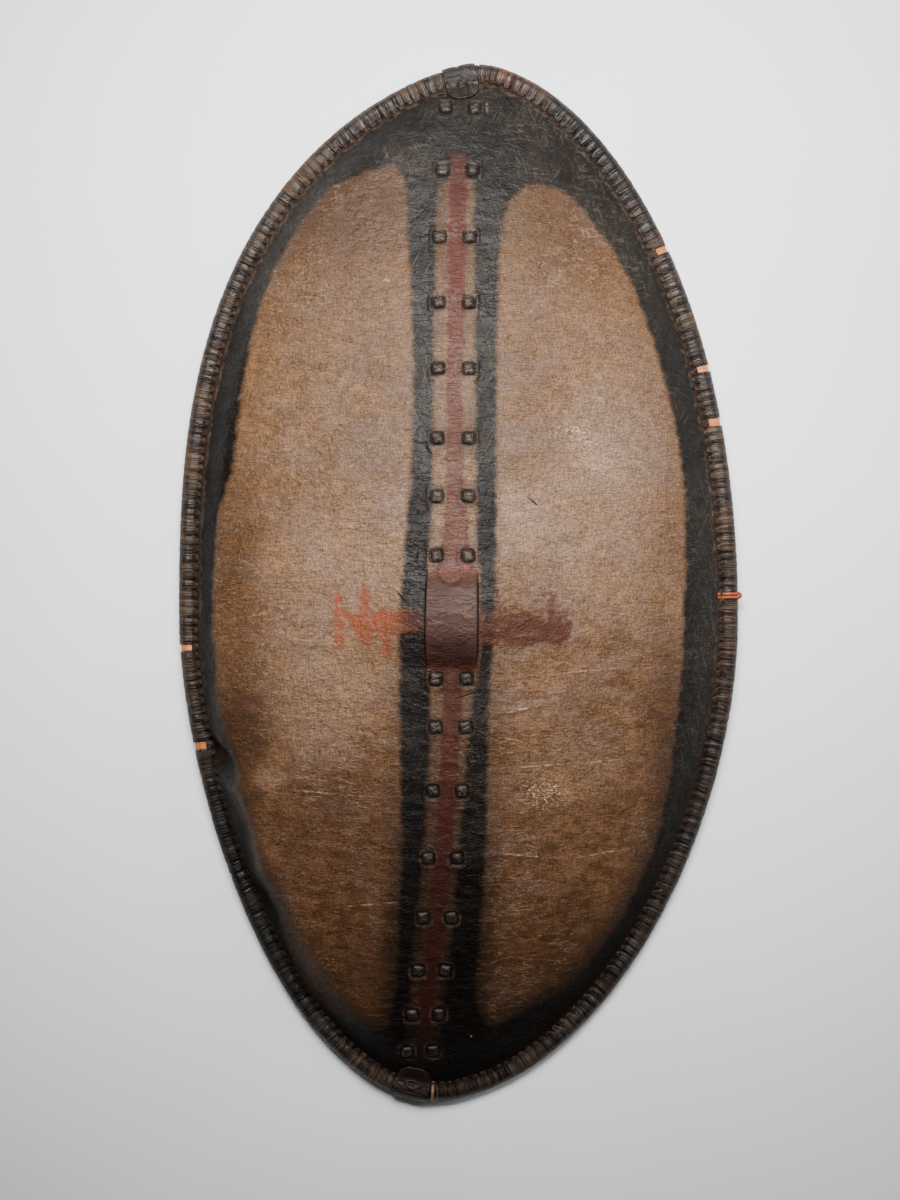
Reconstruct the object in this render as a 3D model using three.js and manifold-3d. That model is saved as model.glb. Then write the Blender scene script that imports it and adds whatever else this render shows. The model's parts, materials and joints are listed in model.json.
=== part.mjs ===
// An oval war shield of thick rawhide, lying face up with its rim on the ground.
// The hide is domed, and its edge is bound with a rolled leather rim. A wooden stave runs
// down the back. Sixteen pairs of thong ends hold it: each thong crosses behind the stave,
// passes through two slits and ends in two knobs on the face. At the middle the hide is
// pushed out over the grip, so that fingers pass round the stave. A leather wrap at each
// tip ties the stave's end to the rim.
// Millimetres. +X is the right of the painted face, +Y its top, +Z points out of the face.
import * as THREE from 'three';
import { LoftGeometry } from 'three/addons/geometries/LoftGeometry.js';
import { mergeVertices } from 'three/addons/utils/BufferGeometryUtils.js';
import Module from 'manifold-3d';

const wasm = await Module();
wasm.setup();

// The line of the rim, along the middle of its binding.
const RIM_LENGTH = 1079; // tip to tip
const RIM_WIDTH = 571; // at the widest level
const HALF_LENGTH = RIM_LENGTH / 2;
const WIDEST_Y = -0.0834 * HALF_LENGTH; // the widest level, measured from half length
const TIP_X = { top: 24, foot: -22 }; // each tip stands off the middle
// How full each quarter of the outline is: its width falls as (1 - t^bend)^round.
const QUARTERS = {
  topLeft: { bend: 2.9, round: 0.62 },
  topRight: { bend: 2.2, round: 0.59 },
  footLeft: { bend: 1.6, round: 0.5 },
  footRight: { bend: 1.8, round: 0.555 },
};

// The leather binding, as a section: it is a roll at the edge with a flatter stitched side inwards.
const RIM_OUT = 10.5; // from its middle line to the outside
const RIM_IN = 11; // from its middle line to the stitched side
const RIM_HEIGHT = 19;
const RIM_INNER_SLIM = 0.3; // share of the height lost at the stitched side
const RIM_BOW = 10; // the long sides stand off the ground by this much at mid length
const RIM_BOW_REACH = 0.797 * HALF_LENGTH; // no bow beyond this distance from mid length

// The hide.
const HIDE_T = 5;
const DOME = 104; // rise of the hide over its edge, without the brow
const DOME_POWER = 2.25; // a higher power gives a flatter crown and steeper flanks
const SHOULDER = 0.86; // where the steep wall by the rim starts, as a share of the way out
const WALL = { right: 0.08, left: 0.26, footLeft: 0.4 }; // shares of DOME that the wall takes
const WALL_FOOT_Y = -0.389 * HALF_LENGTH; // middle of the bulged stretch at the lower left
const WALL_FOOT_REACH = 190;
const BROW = { rise: 9, acrossReach: 85, alongReach: 48 }; // the swell round the grip boss

// The boss over the grip.
const BOSS_Y = -38;
const BOSS_WIDTH = 52;
const BOSS_LENGTH = 100;
const BOSS_RISE = 15;
const BOSS_POWER = 2.6; // a higher power gives a flatter back with steeper ends
const BOSS_CORNER = 2.5;
const BOSS_OPEN = 3; // the hollow is cut this far past the hide's back
const BOSS_STEPS = 12;

// The stave, and where its line runs across the back: levels as shares of half length, then x.
const STAVE_LINE = [
  [-1.038, -50], [-0.91, -40.5], [-0.832, -34.5], [-0.741, -28], [-0.52, -16.5], [-0.3, -9],
  [-0.07, -7.5], [0.4, -5.5], [0.656, -4.2], [0.8, -1], [0.925, 1.5], [1.038, 3.5],
];
const STAVE_WIDTH = { middle: 28, top: 27, foot: 23 };
const STAVE_T = { middle: 14, end: 7 };
const STAVE_TAPER_Y = 0.74 * HALF_LENGTH; // it thins beyond this distance from mid length
const STAVE_SHORT = { top: 20.5, foot: 20 }; // it stops this far inside the tips
const STAVE_END = { top: HALF_LENGTH - STAVE_SHORT.top, foot: STAVE_SHORT.foot - HALF_LENGTH };
const STAVE_GAP = 2; // it lies against the hide with this much air
const GRIP_SET = 26; // the grip stands this much further off the hide
const GRIP_HALF = 26; // half the straight part of the grip
const GRIP_RAMP = 24; // length of each ramp into the grip
const GRIP_EXTRA_T = 8; // the grip is rounder than the rest of the stave

// The thongs. Each entry is the level of one pair of knobs, as a share of half length.
const THONG_SHARES = [
  0.9249, 0.7933, 0.6571, 0.5273, 0.3994, 0.2669, 0.1576, 0.0473,
  -0.1816, -0.2725, -0.393, -0.5218, -0.6367, -0.7414, -0.8323, -0.9092,
];
const THONG_LEVELS = THONG_SHARES.map((share) => share * HALF_LENGTH);
const THONG_T = 2.6; // thickness of a thong's legs and strap
const THONG_W = 6;
const THONG_CLEAR = 0.5; // between a thong and the wood or hide that it passes
const KNOB = { width: 11.5, length: 13, height: 4.2, lean: 0.72 }; // lean is the top's size as a share
const KNOB_LIFT = 0.9; // air under a knob

// The leather wraps at the tips, each with one tied thong.
const WRAPS = {
  top: { x: 2.7, width: 38, reach: 19.5, knot: 14 },
  foot: { x: -50, width: 37, reach: 14, knot: 6 },
};
const WRAP_T = 2.6;
const WRAP_CORNER = 14;
const WRAP_TOP_ROUND = 6;
const WRAP_KNOT = { radius: 5, height: 3, leg: 2.2 };

// Two mending ties round the rim: one at mid length on the right, one beside the foot wrap.
const SIDE_TIE = { y: -14, width: 5.5, thick: 3 };
const FOOT_TIE = { x: -27.5, width: 3, thick: 1.8 };

const CLEAR = 0.3; // between pieces that touch
const STATIONS = 56; // round the hide and the rim
const RIM_FACETS = 8;
const HIDE_RINGS = [0, 0.06, 0.12, 0.18, 0.28, 0.42, 0.57, 0.71, 0.82, 0.9, 0.955, 1];
const STEP = 0.5; // spacing of the points that slopes are measured between

const { smoothstep, clamp, lerp } = THREE.MathUtils;

// The outline in level form: its half width and its middle at a level y.
const reachTo = (y) => (y > WIDEST_Y ? HALF_LENGTH - WIDEST_Y : HALF_LENGTH + WIDEST_Y);
const towardsTip = (y) => clamp(Math.abs(y - WIDEST_Y) / reachTo(y), 0, 1);
const sideX = (y, side) => {
  const top = y > WIDEST_Y;
  const quarter = QUARTERS[(top ? 'top' : 'foot') + (side > 0 ? 'Right' : 'Left')];
  const full = (1 - towardsTip(y) ** quarter.bend) ** quarter.round;
  return side * (RIM_WIDTH / 2) * full + (top ? TIP_X.top : TIP_X.foot) * (1 - full);
};

// A place inside the outline: out is 0 at the middle and 1 at the edge, round is the angle.
const placeAt = (out, round) => {
  const rise = Math.sin(round);
  const y = WIDEST_Y + out * rise * (rise > 0 ? HALF_LENGTH - WIDEST_Y : HALF_LENGTH + WIDEST_Y);
  const t = towardsTip(y);
  const room = Math.sqrt(Math.max(1 - t * t, 1e-9));
  const across = clamp((out * Math.cos(round)) / room, -1, 1);
  const left = sideX(y, -1);
  const right = sideX(y, 1);
  return new THREE.Vector2((left + right) / 2 + (across * (right - left)) / 2, y);
};

// The inverse: how far out a place lies, and on which side.
const outAt = (x, y) => {
  const left = sideX(y, -1);
  const right = sideX(y, 1);
  const across = clamp((2 * x - left - right) / Math.max(right - left, 1e-6), -1.2, 1.2);
  const t = towardsTip(y);
  return { out: Math.sqrt(t * t + (1 - t * t) * across * across), across };
};

// The middle line of the rim, its outward direction, and its height over the ground.
const rimPlace = (round) => placeAt(1, round);
const rimOutward = (round) => {
  const before = rimPlace(round - 0.02);
  const after = rimPlace(round + 0.02);
  return new THREE.Vector2(after.y - before.y, before.x - after.x).normalize();
};
const roundWhere = (x, top) => {
  let [low, high] = top ? [0, Math.PI] : [-Math.PI, 0];
  for (let i = 0; i < 40; i++) {
    const mid = (low + high) / 2;
    if (rimPlace(mid).x > x === top) low = mid;
    else high = mid;
  }
  return (low + high) / 2;
};
const wrapRound = { top: roundWhere(WRAPS.top.x, true), foot: roundWhere(WRAPS.foot.x, false) };
const wrapPlace = { top: rimPlace(wrapRound.top), foot: rimPlace(wrapRound.foot) };
const wrapLift = (x, y) => {
  const end = y > 0 ? 'top' : 'foot';
  const away = Math.hypot(x - wrapPlace[end].x, y - wrapPlace[end].y);
  return (WRAP_T + CLEAR) * (1 - smoothstep(away, WRAPS[end].width * 0.8, WRAPS[end].width * 2));
};
const rimZ = (x, y) => {
  const bow = RIM_BOW * (1 - smoothstep(Math.abs(y), 0, RIM_BOW_REACH));
  return RIM_HEIGHT / 2 + bow + wrapLift(x, y);
};

// The line of the stave across the shield.
const staveLine = new THREE.CatmullRomCurve3(STAVE_LINE.map(([y, x]) => new THREE.Vector3(x, y * HALF_LENGTH, 0)));
const STAVE_LINE_POINTS = staveLine.getPoints(200);
const staveX = (y) => {
  const after = STAVE_LINE_POINTS.findIndex((p) => p.y >= y);
  const [a, b] = [STAVE_LINE_POINTS[after - 1], STAVE_LINE_POINTS[after]];
  return lerp(a.x, b.x, (y - a.y) / (b.y - a.y));
};

// Height of the hide's face. The boss is added to the solid later.
const hideZ = (x, y) => {
  const { out, across } = outAt(x, y);
  const leftness = smoothstep(-across, 0, 0.8);
  const bulge = Math.exp(-(((y - WALL_FOOT_Y) / WALL_FOOT_REACH) ** 2));
  const wall = lerp(WALL.right, lerp(WALL.left, WALL.footLeft, bulge), leftness);
  const crown = 1 - out ** DOME_POWER;
  const shoulder = 1 - smoothstep(out, SHOULDER, 1);
  const brow = BROW.rise * Math.exp(
    -(((x - staveX(BOSS_Y)) / BROW.acrossReach) ** 2) - ((y - BOSS_Y) / BROW.alongReach) ** 2,
  );
  return rimZ(x, y) + HIDE_T / 2 + DOME * lerp(crown, shoulder, wall) + brow;
};
const hideNormal = (x, y) => {
  const slopeX = (hideZ(x + STEP, y) - hideZ(x - STEP, y)) / (2 * STEP);
  const slopeY = (hideZ(x, y + STEP) - hideZ(x, y - STEP)) / (2 * STEP);
  return new THREE.Vector3(-slopeX, -slopeY, 1).normalize();
};

// A closed solid from a three.js geometry. Triangles that shrink to a line at a pole are left out.
const solidOf = (geometry) => {
  const bare = new THREE.BufferGeometry();
  bare.setAttribute('position', geometry.getAttribute('position'));
  bare.setIndex(geometry.index);
  const merged = mergeVertices(bare, 1e-3);
  const corners = merged.index.array;
  const triVerts = [];
  for (let i = 0; i < corners.length; i += 3) {
    const [a, b, c] = corners.subarray(i, i + 3);
    if (a !== b && b !== c && c !== a) triVerts.push(a, b, c);
  }
  return new wasm.Manifold(new wasm.Mesh({
    numProp: 3,
    vertProperties: merged.attributes.position.array,
    triVerts: new Uint32Array(triVerts),
  }));
};

const geometryOf = (made) => {
  const mesh = made.getMesh();
  const positions = new Float32Array(mesh.numVert * 3);
  for (let i = 0; i < mesh.numVert; i++) {
    positions.set(mesh.vertProperties.subarray(i * mesh.numProp, i * mesh.numProp + 3), i * 3);
  }
  const geometry = new THREE.BufferGeometry();
  geometry.setAttribute('position', new THREE.BufferAttribute(positions, 3));
  geometry.setIndex(new THREE.BufferAttribute(mesh.triVerts, 1));
  geometry.computeVertexNormals();
  return geometry;
};

const placed = (geometry, matrix) => solidOf(geometry.applyMatrix4(matrix));

// The hide as a shell. grow makes the room that another piece leaves round it.
const hideRing = (out, depth, grow) => {
  const ring = [];
  for (let i = 0; i < STATIONS; i++) {
    const round = (2 * Math.PI * i) / STATIONS;
    const inside = Math.min(out, 0.999);
    const at = placeAt(inside, round);
    const normal = hideNormal(at.x, at.y);
    const point = new THREE.Vector3(at.x, at.y, hideZ(at.x, at.y)).addScaledVector(normal, depth);
    if (out === 1) {
      const outward = rimOutward(round);
      point.x += outward.x * grow;
      point.y += outward.y * grow;
    }
    ring.push(point);
  }
  return ring.toReversed();
};
const hideShell = (grow) => {
  const face = HIDE_RINGS.map((out) => hideRing(out, grow, grow));
  const back = HIDE_RINGS.toReversed().map((out) => hideRing(out, -HIDE_T - grow, grow));
  return solidOf(new LoftGeometry([...face, ...back]));
};

// The frame at a level of the stave: across, along and out of the face.
const staveFrame = (y) => {
  const x = staveX(y);
  const out = hideNormal(x, y);
  const across = new THREE.Vector3(1, 0, 0).addScaledVector(out, -out.x).normalize();
  const along = new THREE.Vector3().crossVectors(out, across);
  const matrix = new THREE.Matrix4().makeBasis(across, along, out);
  return matrix.setPosition(x, y, hideZ(x, y));
};

// The boss is a block with an arched back that follows the hide, and its hollow is the same
// block, one hide thickness in and open below.
const bossBlock = (inset) => {
  const half = BOSS_LENGTH / 2 - inset;
  const halfWidth = BOSS_WIDTH / 2 - inset;
  const bottom = inset > 0 ? -HIDE_T - BOSS_OPEN : -HIDE_T / 2;
  const sections = [];
  for (let i = 0; i <= BOSS_STEPS; i++) {
    const away = lerp(-half, half, i / BOSS_STEPS);
    const rise = BOSS_RISE * (1 - Math.abs((2 * away) / BOSS_LENGTH) ** BOSS_POWER) - inset;
    const corner = Math.min(BOSS_CORNER, (rise - bottom) / 2);
    const matrix = staveFrame(BOSS_Y + away);
    const outline = [
      [halfWidth, bottom], [halfWidth, rise - corner], [halfWidth - corner, rise],
      [corner - halfWidth, rise], [-halfWidth, rise - corner], [-halfWidth, bottom],
    ];
    sections.push(outline.map(([across, up]) => new THREE.Vector3(across, 0, up).applyMatrix4(matrix)));
  }
  sections.forEach((section) => section.reverse());
  return solidOf(new LoftGeometry(sections, { capStart: true, capEnd: true }));
};

// A section point of the rim: round the roll from the outside (0) over the top.
const rimSection = (turn, grow) => {
  const outwards = Math.cos(turn);
  const slim = 1 - RIM_INNER_SLIM * Math.max(0, -outwards) ** 2;
  return {
    out: outwards * ((outwards > 0 ? RIM_OUT : RIM_IN) + grow),
    up: Math.sin(turn) * (RIM_HEIGHT / 2 + grow) * slim,
  };
};
const rimPoint = (round, section) => {
  const at = rimPlace(round);
  const outward = rimOutward(round);
  return new THREE.Vector3(
    at.x + outward.x * section.out,
    at.y + outward.y * section.out,
    rimZ(at.x, at.y) + section.up,
  );
};
const rimRoll = (grow) => {
  const sections = [];
  for (let i = 0; i <= STATIONS; i++) {
    const round = (2 * Math.PI * (i % STATIONS)) / STATIONS;
    const ring = [];
    for (let j = 0; j < RIM_FACETS; j++) {
      ring.push(rimPoint(round, rimSection((2 * Math.PI * j) / RIM_FACETS - Math.PI / 2, grow)));
    }
    sections.push(ring.toReversed());
  }
  return solidOf(new LoftGeometry(sections));
};

// The stave: a rounded batten whose front face follows the hide and leaves it at the grip.
const gripShare = (y) => 1 - smoothstep(Math.abs(y - BOSS_Y), GRIP_HALF, GRIP_HALF + GRIP_RAMP);
const staveThickness = (y) => {
  const plain = lerp(STAVE_T.middle, STAVE_T.end, smoothstep(Math.abs(y), STAVE_TAPER_Y, STAVE_END.top));
  return plain + GRIP_EXTRA_T * gripShare(y);
};
const staveWidth = (y) => {
  const end = y > 0 ? STAVE_WIDTH.top : STAVE_WIDTH.foot;
  return lerp(STAVE_WIDTH.middle, end, Math.abs(y) / STAVE_END.top);
};
const staveSection = (y, grow) => {
  const halfWidth = staveWidth(y) / 2 + grow;
  const thick = staveThickness(y) + 2 * grow;
  const chamfer = lerp(thick * 0.25, thick * 0.32, gripShare(y));
  const front = -HIDE_T - STAVE_GAP - GRIP_SET * gripShare(y) + grow;
  const corners = [
    [halfWidth, -chamfer], [halfWidth - chamfer, 0], [chamfer - halfWidth, 0], [-halfWidth, -chamfer],
    [-halfWidth, chamfer - thick], [chamfer - halfWidth, -thick],
    [halfWidth - chamfer, -thick], [halfWidth, chamfer - thick],
  ];
  const matrix = staveFrame(y);
  return corners.map(([across, up]) => new THREE.Vector3(across, 0, front + up).applyMatrix4(matrix));
};
// It has a station at each edge of every thong, so that both lie flat on each other.
const staveBar = (grow) => {
  const levels = [
    STAVE_END.foot - grow, STAVE_END.top + grow, BOSS_Y,
    ...THONG_LEVELS.flatMap((y) => [y - THONG_W / 2 - THONG_CLEAR, y + THONG_W / 2 + THONG_CLEAR]),
    ...[-1, 1].flatMap((side) => [0, 0.5, 1].map((share) => BOSS_Y + side * (GRIP_HALF + share * GRIP_RAMP))),
  ].sort((a, b) => a - b);
  const sections = levels.map((y) => staveSection(y, grow).toReversed());
  return solidOf(new LoftGeometry(sections, { capStart: true, capEnd: true }));
};

// A thong: a strap behind the stave, two legs through the hide and a knob on each leg.
const thongReach = (y) => staveWidth(y) / 2 + THONG_CLEAR + THONG_T; // from its middle to a leg's far side
const thongBack = (y) => -HIDE_T - STAVE_GAP - staveThickness(y) - THONG_CLEAR - THONG_T;
const thongLeg = (y, side, grow) => {
  const bottom = thongBack(y) - grow;
  const top = KNOB_LIFT + KNOB.height / 2;
  const box = new THREE.BoxGeometry(THONG_T + 2 * grow, THONG_W + 2 * grow, top - bottom);
  box.translate(side * (thongReach(y) - THONG_T / 2), 0, (top + bottom) / 2);
  return placed(box, staveFrame(y));
};
const knob = (y, side) => {
  const shape = new THREE.CylinderGeometry(KNOB.lean / Math.SQRT2, 1 / Math.SQRT2, KNOB.height, 8);
  shape.rotateY(Math.PI / 8).rotateX(Math.PI / 2).scale(KNOB.width / 1.3, KNOB.length / 1.3, 1);
  shape.translate(side * (thongReach(y) - THONG_T / 2), 0, KNOB_LIFT + KNOB.height / 2);
  return placed(shape, staveFrame(y));
};
const thong = (y) => {
  const reach = thongReach(y);
  const back = thongBack(y);
  const top = KNOB_LIFT + KNOB.height / 2;
  const bend = new THREE.Shape([
    [-reach, back], [reach, back], [reach, top], [reach - THONG_T, top],
    [reach - THONG_T, back + THONG_T], [THONG_T - reach, back + THONG_T], [THONG_T - reach, top], [-reach, top],
  ].map(([across, up]) => new THREE.Vector2(across, up)));
  const strap = new THREE.ExtrudeGeometry(bend, { depth: THONG_W, bevelEnabled: false });
  strap.rotateX(Math.PI / 2).translate(0, THONG_W / 2, 0);
  return placed(strap, staveFrame(y)).add(knob(y, -1)).add(knob(y, 1));
};

// A wrap: a leather boot over the rim and the stave's end, with a rounded tongue on the face.
const wrapFrame = (end) => {
  const outward2 = rimOutward(wrapRound[end]);
  const outward = new THREE.Vector3(outward2.x, outward2.y, 0);
  const up = new THREE.Vector3(0, 0, 1);
  const tangent = new THREE.Vector3().crossVectors(outward, up);
  const at = wrapPlace[end];
  return new THREE.Matrix4().makeBasis(tangent, outward, up).setPosition(at.x, at.y, rimZ(at.x, at.y));
};
const wrapTongueRise = (end) => {
  const inner = new THREE.Vector3(0, -RIM_IN - WRAPS[end].reach, 0).applyMatrix4(wrapFrame(end));
  return hideZ(inner.x, inner.y) - rimZ(wrapPlace[end].x, wrapPlace[end].y);
};
const wrapBody = (end) => {
  const { width, reach } = WRAPS[end];
  const skin = WRAP_T + CLEAR;
  const outer = RIM_OUT + skin;
  const inner = -RIM_IN - reach;
  const top = RIM_HEIGHT / 2 + skin;
  const bottom = -RIM_HEIGHT / 2 - skin;
  const side = new THREE.Shape();
  side.moveTo(inner, bottom);
  side.lineTo(outer - WRAP_TOP_ROUND, bottom);
  side.lineTo(outer, bottom + WRAP_TOP_ROUND);
  side.lineTo(outer, top - WRAP_TOP_ROUND);
  side.lineTo(outer - WRAP_TOP_ROUND, top);
  side.lineTo(-RIM_IN / 2, top);
  side.lineTo(inner, wrapTongueRise(end) + skin);
  side.closePath();
  const slab = new THREE.ExtrudeGeometry(side, { depth: width, bevelEnabled: false });
  slab.translate(0, 0, -width / 2);
  // The outline lies in the plane of outward and up, and the extrusion runs along the rim.
  const turn = new THREE.Matrix4().makeBasis(
    new THREE.Vector3(0, 1, 0), new THREE.Vector3(0, 0, 1), new THREE.Vector3(1, 0, 0),
  );
  const plan = new THREE.Shape();
  plan.moveTo(-width / 2, outer + 1);
  plan.lineTo(-width / 2, inner + WRAP_CORNER);
  plan.quadraticCurveTo(-width / 2, inner, WRAP_CORNER - width / 2, inner);
  plan.lineTo(width / 2 - WRAP_CORNER, inner);
  plan.quadraticCurveTo(width / 2, inner, width / 2, inner + WRAP_CORNER);
  plan.lineTo(width / 2, outer + 1);
  plan.closePath();
  const tall = 4 * RIM_HEIGHT;
  const prism = new THREE.ExtrudeGeometry(plan, { depth: tall, bevelEnabled: false, curveSegments: 3 });
  prism.translate(0, 0, -tall / 2);
  return placed(slab, wrapFrame(end).multiply(turn)).intersect(placed(prism, wrapFrame(end)));
};

// The thong that ties a wrap down: a knob on the tongue and a leg into the layers below.
const wrapKnotMatrix = (end) => {
  const frame = wrapFrame(end);
  const away = -WRAPS[end].knot;
  const share = clamp((-away - RIM_IN / 2) / (RIM_IN / 2 + WRAPS[end].reach), 0, 1);
  const surface = lerp(RIM_HEIGHT / 2, wrapTongueRise(end), share) + WRAP_T + CLEAR;
  return frame.multiply(new THREE.Matrix4().makeTranslation(0, away, surface));
};
const wrapKnot = (end, grow) => {
  const depth = RIM_HEIGHT * 0.55;
  const leg = new THREE.CylinderGeometry(WRAP_KNOT.leg + grow, WRAP_KNOT.leg + grow, depth + 2 * grow, 8);
  leg.rotateX(Math.PI / 2).translate(0, 0, WRAP_KNOT.height - depth / 2);
  const head = new THREE.CylinderGeometry(
    WRAP_KNOT.radius * 0.7 + grow, WRAP_KNOT.radius + grow, WRAP_KNOT.height + 2 * grow, 8,
  );
  head.rotateX(Math.PI / 2).translate(0, 0, WRAP_KNOT.height / 2 + CLEAR);
  return placed(leg, wrapKnotMatrix(end)).add(placed(head, wrapKnotMatrix(end)));
};

// A tie: a flat thong round the rim, through a slit in the hide at its inner side.
const tieRing = (round, { width, thick }, grow) => {
  const facets = 12;
  const outward = rimOutward(round);
  const tangent = new THREE.Vector3(-outward.y, outward.x, 0);
  const sections = [];
  for (let j = 0; j <= facets; j++) {
    const turn = (2 * Math.PI * (j % facets)) / facets;
    const low = rimPoint(round, rimSection(turn, CLEAR + 0.5 - grow));
    const high = rimPoint(round, rimSection(turn, CLEAR + 0.5 + thick + grow));
    const half = width / 2 + grow;
    sections.push([
      low.clone().addScaledVector(tangent, -half), high.clone().addScaledVector(tangent, -half),
      high.clone().addScaledVector(tangent, half), low.clone().addScaledVector(tangent, half),
    ]);
  }
  return solidOf(new LoftGeometry(sections));
};
const sideTieRound = Math.asin((SIDE_TIE.y - WIDEST_Y) / reachTo(SIDE_TIE.y));
const footTieRound = roundWhere(FOOT_TIE.x, false);

const leather = (color, roughness) => new THREE.MeshStandardMaterial({ color, roughness, metalness: 0 });
const MATERIALS = {
  hide: leather('#7d6046', 0.62),
  binding: leather('#2b211d', 0.5),
  thong: leather('#3a2c25', 0.55),
  wrap: leather('#33271f', 0.5),
  tie: leather('#a2562f', 0.6),
  wood: new THREE.MeshStandardMaterial({ color: '#6b4a30', roughness: 0.6, metalness: 0 }),
};

const shield = new THREE.Group();
const keep = (name, made, material) => {
  const mesh = new THREE.Mesh(geometryOf(made), MATERIALS[material]);
  mesh.name = name;
  shield.add(mesh);
};

const ties = {
  side: { ring: (grow) => tieRing(sideTieRound, SIDE_TIE, grow), name: 'side_tie' },
  foot: { ring: (grow) => tieRing(footTieRound, FOOT_TIE, grow), name: 'foot_tie' },
};

let hide = hideShell(0).add(bossBlock(0)).subtract(bossBlock(HIDE_T));
THONG_LEVELS.forEach((y) => {
  [-1, 1].forEach((side) => { hide = hide.subtract(thongLeg(y, side, THONG_CLEAR)); });
});
Object.values(ties).forEach(({ ring }) => { hide = hide.subtract(ring(CLEAR)); });
['top', 'foot'].forEach((end) => { hide = hide.subtract(wrapKnot(end, CLEAR)); });
keep('hide', hide, 'hide');

let rim = rimRoll(0).subtract(hideShell(CLEAR));
['top', 'foot'].forEach((end) => { rim = rim.subtract(wrapKnot(end, CLEAR)); });
keep('rim_binding', rim, 'binding');

const filled = hideShell(CLEAR).add(rimRoll(CLEAR)).add(staveBar(CLEAR));
['top', 'foot'].forEach((end) => {
  const wrap = wrapBody(end).subtract(filled).subtract(wrapKnot(end, CLEAR));
  keep(`${end}_wrap`, wrap, 'wrap');
  keep(`${end}_wrap_knot`, wrapKnot(end, 0), 'thong');
});

let stave = staveBar(0);
['top', 'foot'].forEach((end) => { stave = stave.subtract(wrapKnot(end, CLEAR)); });
keep('stave', stave, 'wood');
THONG_LEVELS.forEach((y, i) => keep(`thong_${String(i + 1).padStart(2, '0')}`, thong(y), 'thong'));
Object.values(ties).forEach(({ ring, name }) => keep(name, ring(0), 'tie'));

export default shield;
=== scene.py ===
"""Looks of an oval rawhide shield, laid out as an add-on and run as a script.

The shield lies face up. Sizes and places inside the shape functions are in millimetres, in the
frame's own axes: +X to the right of the painted face, +Y towards its top, +Z out of the face.
A finished mesh is in metres.
"""
import json
import math

import bmesh
import bpy
import numpy as np
from bpy.props import FloatProperty, FloatVectorProperty, IntProperty, PointerProperty
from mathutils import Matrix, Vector

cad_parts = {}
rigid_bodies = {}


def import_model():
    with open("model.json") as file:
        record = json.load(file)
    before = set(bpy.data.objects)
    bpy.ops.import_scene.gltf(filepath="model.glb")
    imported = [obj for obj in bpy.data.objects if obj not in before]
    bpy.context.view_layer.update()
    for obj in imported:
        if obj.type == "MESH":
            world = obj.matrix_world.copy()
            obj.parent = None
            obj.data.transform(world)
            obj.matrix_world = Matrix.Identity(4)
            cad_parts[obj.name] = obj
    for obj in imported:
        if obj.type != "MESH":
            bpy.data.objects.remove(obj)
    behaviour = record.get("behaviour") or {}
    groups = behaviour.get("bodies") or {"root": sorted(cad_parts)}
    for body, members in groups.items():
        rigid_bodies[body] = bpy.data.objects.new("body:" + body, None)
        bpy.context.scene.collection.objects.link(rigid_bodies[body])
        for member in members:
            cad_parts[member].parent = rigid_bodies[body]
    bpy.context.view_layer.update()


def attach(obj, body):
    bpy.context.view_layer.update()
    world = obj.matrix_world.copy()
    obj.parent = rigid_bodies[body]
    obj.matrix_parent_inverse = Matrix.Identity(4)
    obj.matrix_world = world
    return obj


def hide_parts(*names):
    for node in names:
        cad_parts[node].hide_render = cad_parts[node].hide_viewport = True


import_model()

bl_info = {
    "name": "Rawhide Shield",
    "version": (1, 0, 0),
    "blender": (4, 5, 0),
    "location": "View3D > Sidebar > Shield",
    "description": "Builds an oval rawhide shield with a laced rim, a stave and a painted face",
    "category": "Object",
}

MM = 0.001
FAR = 1e9
TINY = 1e-9

# The construction's sizes, as in the solids.
RIM_LENGTH = 1079.0
RIM_WIDTH = 571.0
HALF_LENGTH = RIM_LENGTH / 2
WIDEST_Y = -0.0834 * HALF_LENGTH
TIP_X = {"top": 24.0, "foot": -22.0}
QUARTERS = {
    ("top", -1): (2.9, 0.62),
    ("top", 1): (2.2, 0.59),
    ("foot", -1): (1.6, 0.5),
    ("foot", 1): (1.8, 0.555),
}
RIM_OUT = 10.5
RIM_IN = 11.0
RIM_HEIGHT = 19.0
RIM_INNER_SLIM = 0.3
RIM_BOW = 10.0
RIM_BOW_REACH = 0.797 * HALF_LENGTH
HIDE_T = 5.0
DOME = 104.0
DOME_POWER = 2.25
SHOULDER = 0.86
WALL = {"right": 0.08, "left": 0.26, "foot_left": 0.4}
WALL_FOOT_Y = -0.389 * HALF_LENGTH
WALL_FOOT_REACH = 190.0
BROW = {"rise": 9.0, "across": 85.0, "along": 48.0}
BOSS_Y = -38.0
BOSS_WIDTH = 52.0
BOSS_LENGTH = 100.0
BOSS_RISE = 15.0
BOSS_POWER = 2.6
BOSS_FALL = 1.3
# Where the boss's side starts and ends, out from half its width.
BOSS_SIDE = (-1.9, 0.3)
STAVE_LINE = (
    (-1.038, -50.0), (-0.91, -40.5), (-0.832, -34.5), (-0.741, -28.0), (-0.52, -16.5), (-0.3, -9.0),
    (-0.07, -7.5), (0.4, -5.5), (0.656, -4.2), (0.8, -1.0), (0.925, 1.5), (1.038, 3.5),
)
STAVE_WIDTH = {"middle": 28.0, "top": 27.0, "foot": 23.0}
STAVE_T = {"middle": 14.0, "end": 7.0}
STAVE_TAPER_Y = 0.74 * HALF_LENGTH
STAVE_END = {"top": HALF_LENGTH - 20.5, "foot": 20.0 - HALF_LENGTH}
STAVE_GAP = 2.0
GRIP_SET = 26.0
GRIP_HALF = 26.0
GRIP_RAMP = 24.0
GRIP_EXTRA_T = 8.0
THONG_SHARES = (
    0.9249, 0.7933, 0.6571, 0.5273, 0.3994, 0.2669, 0.1576, 0.0473,
    -0.1816, -0.2725, -0.393, -0.5218, -0.6367, -0.7414, -0.8323, -0.9092,
)
THONG_LEVELS = [share * HALF_LENGTH for share in THONG_SHARES]
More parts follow.
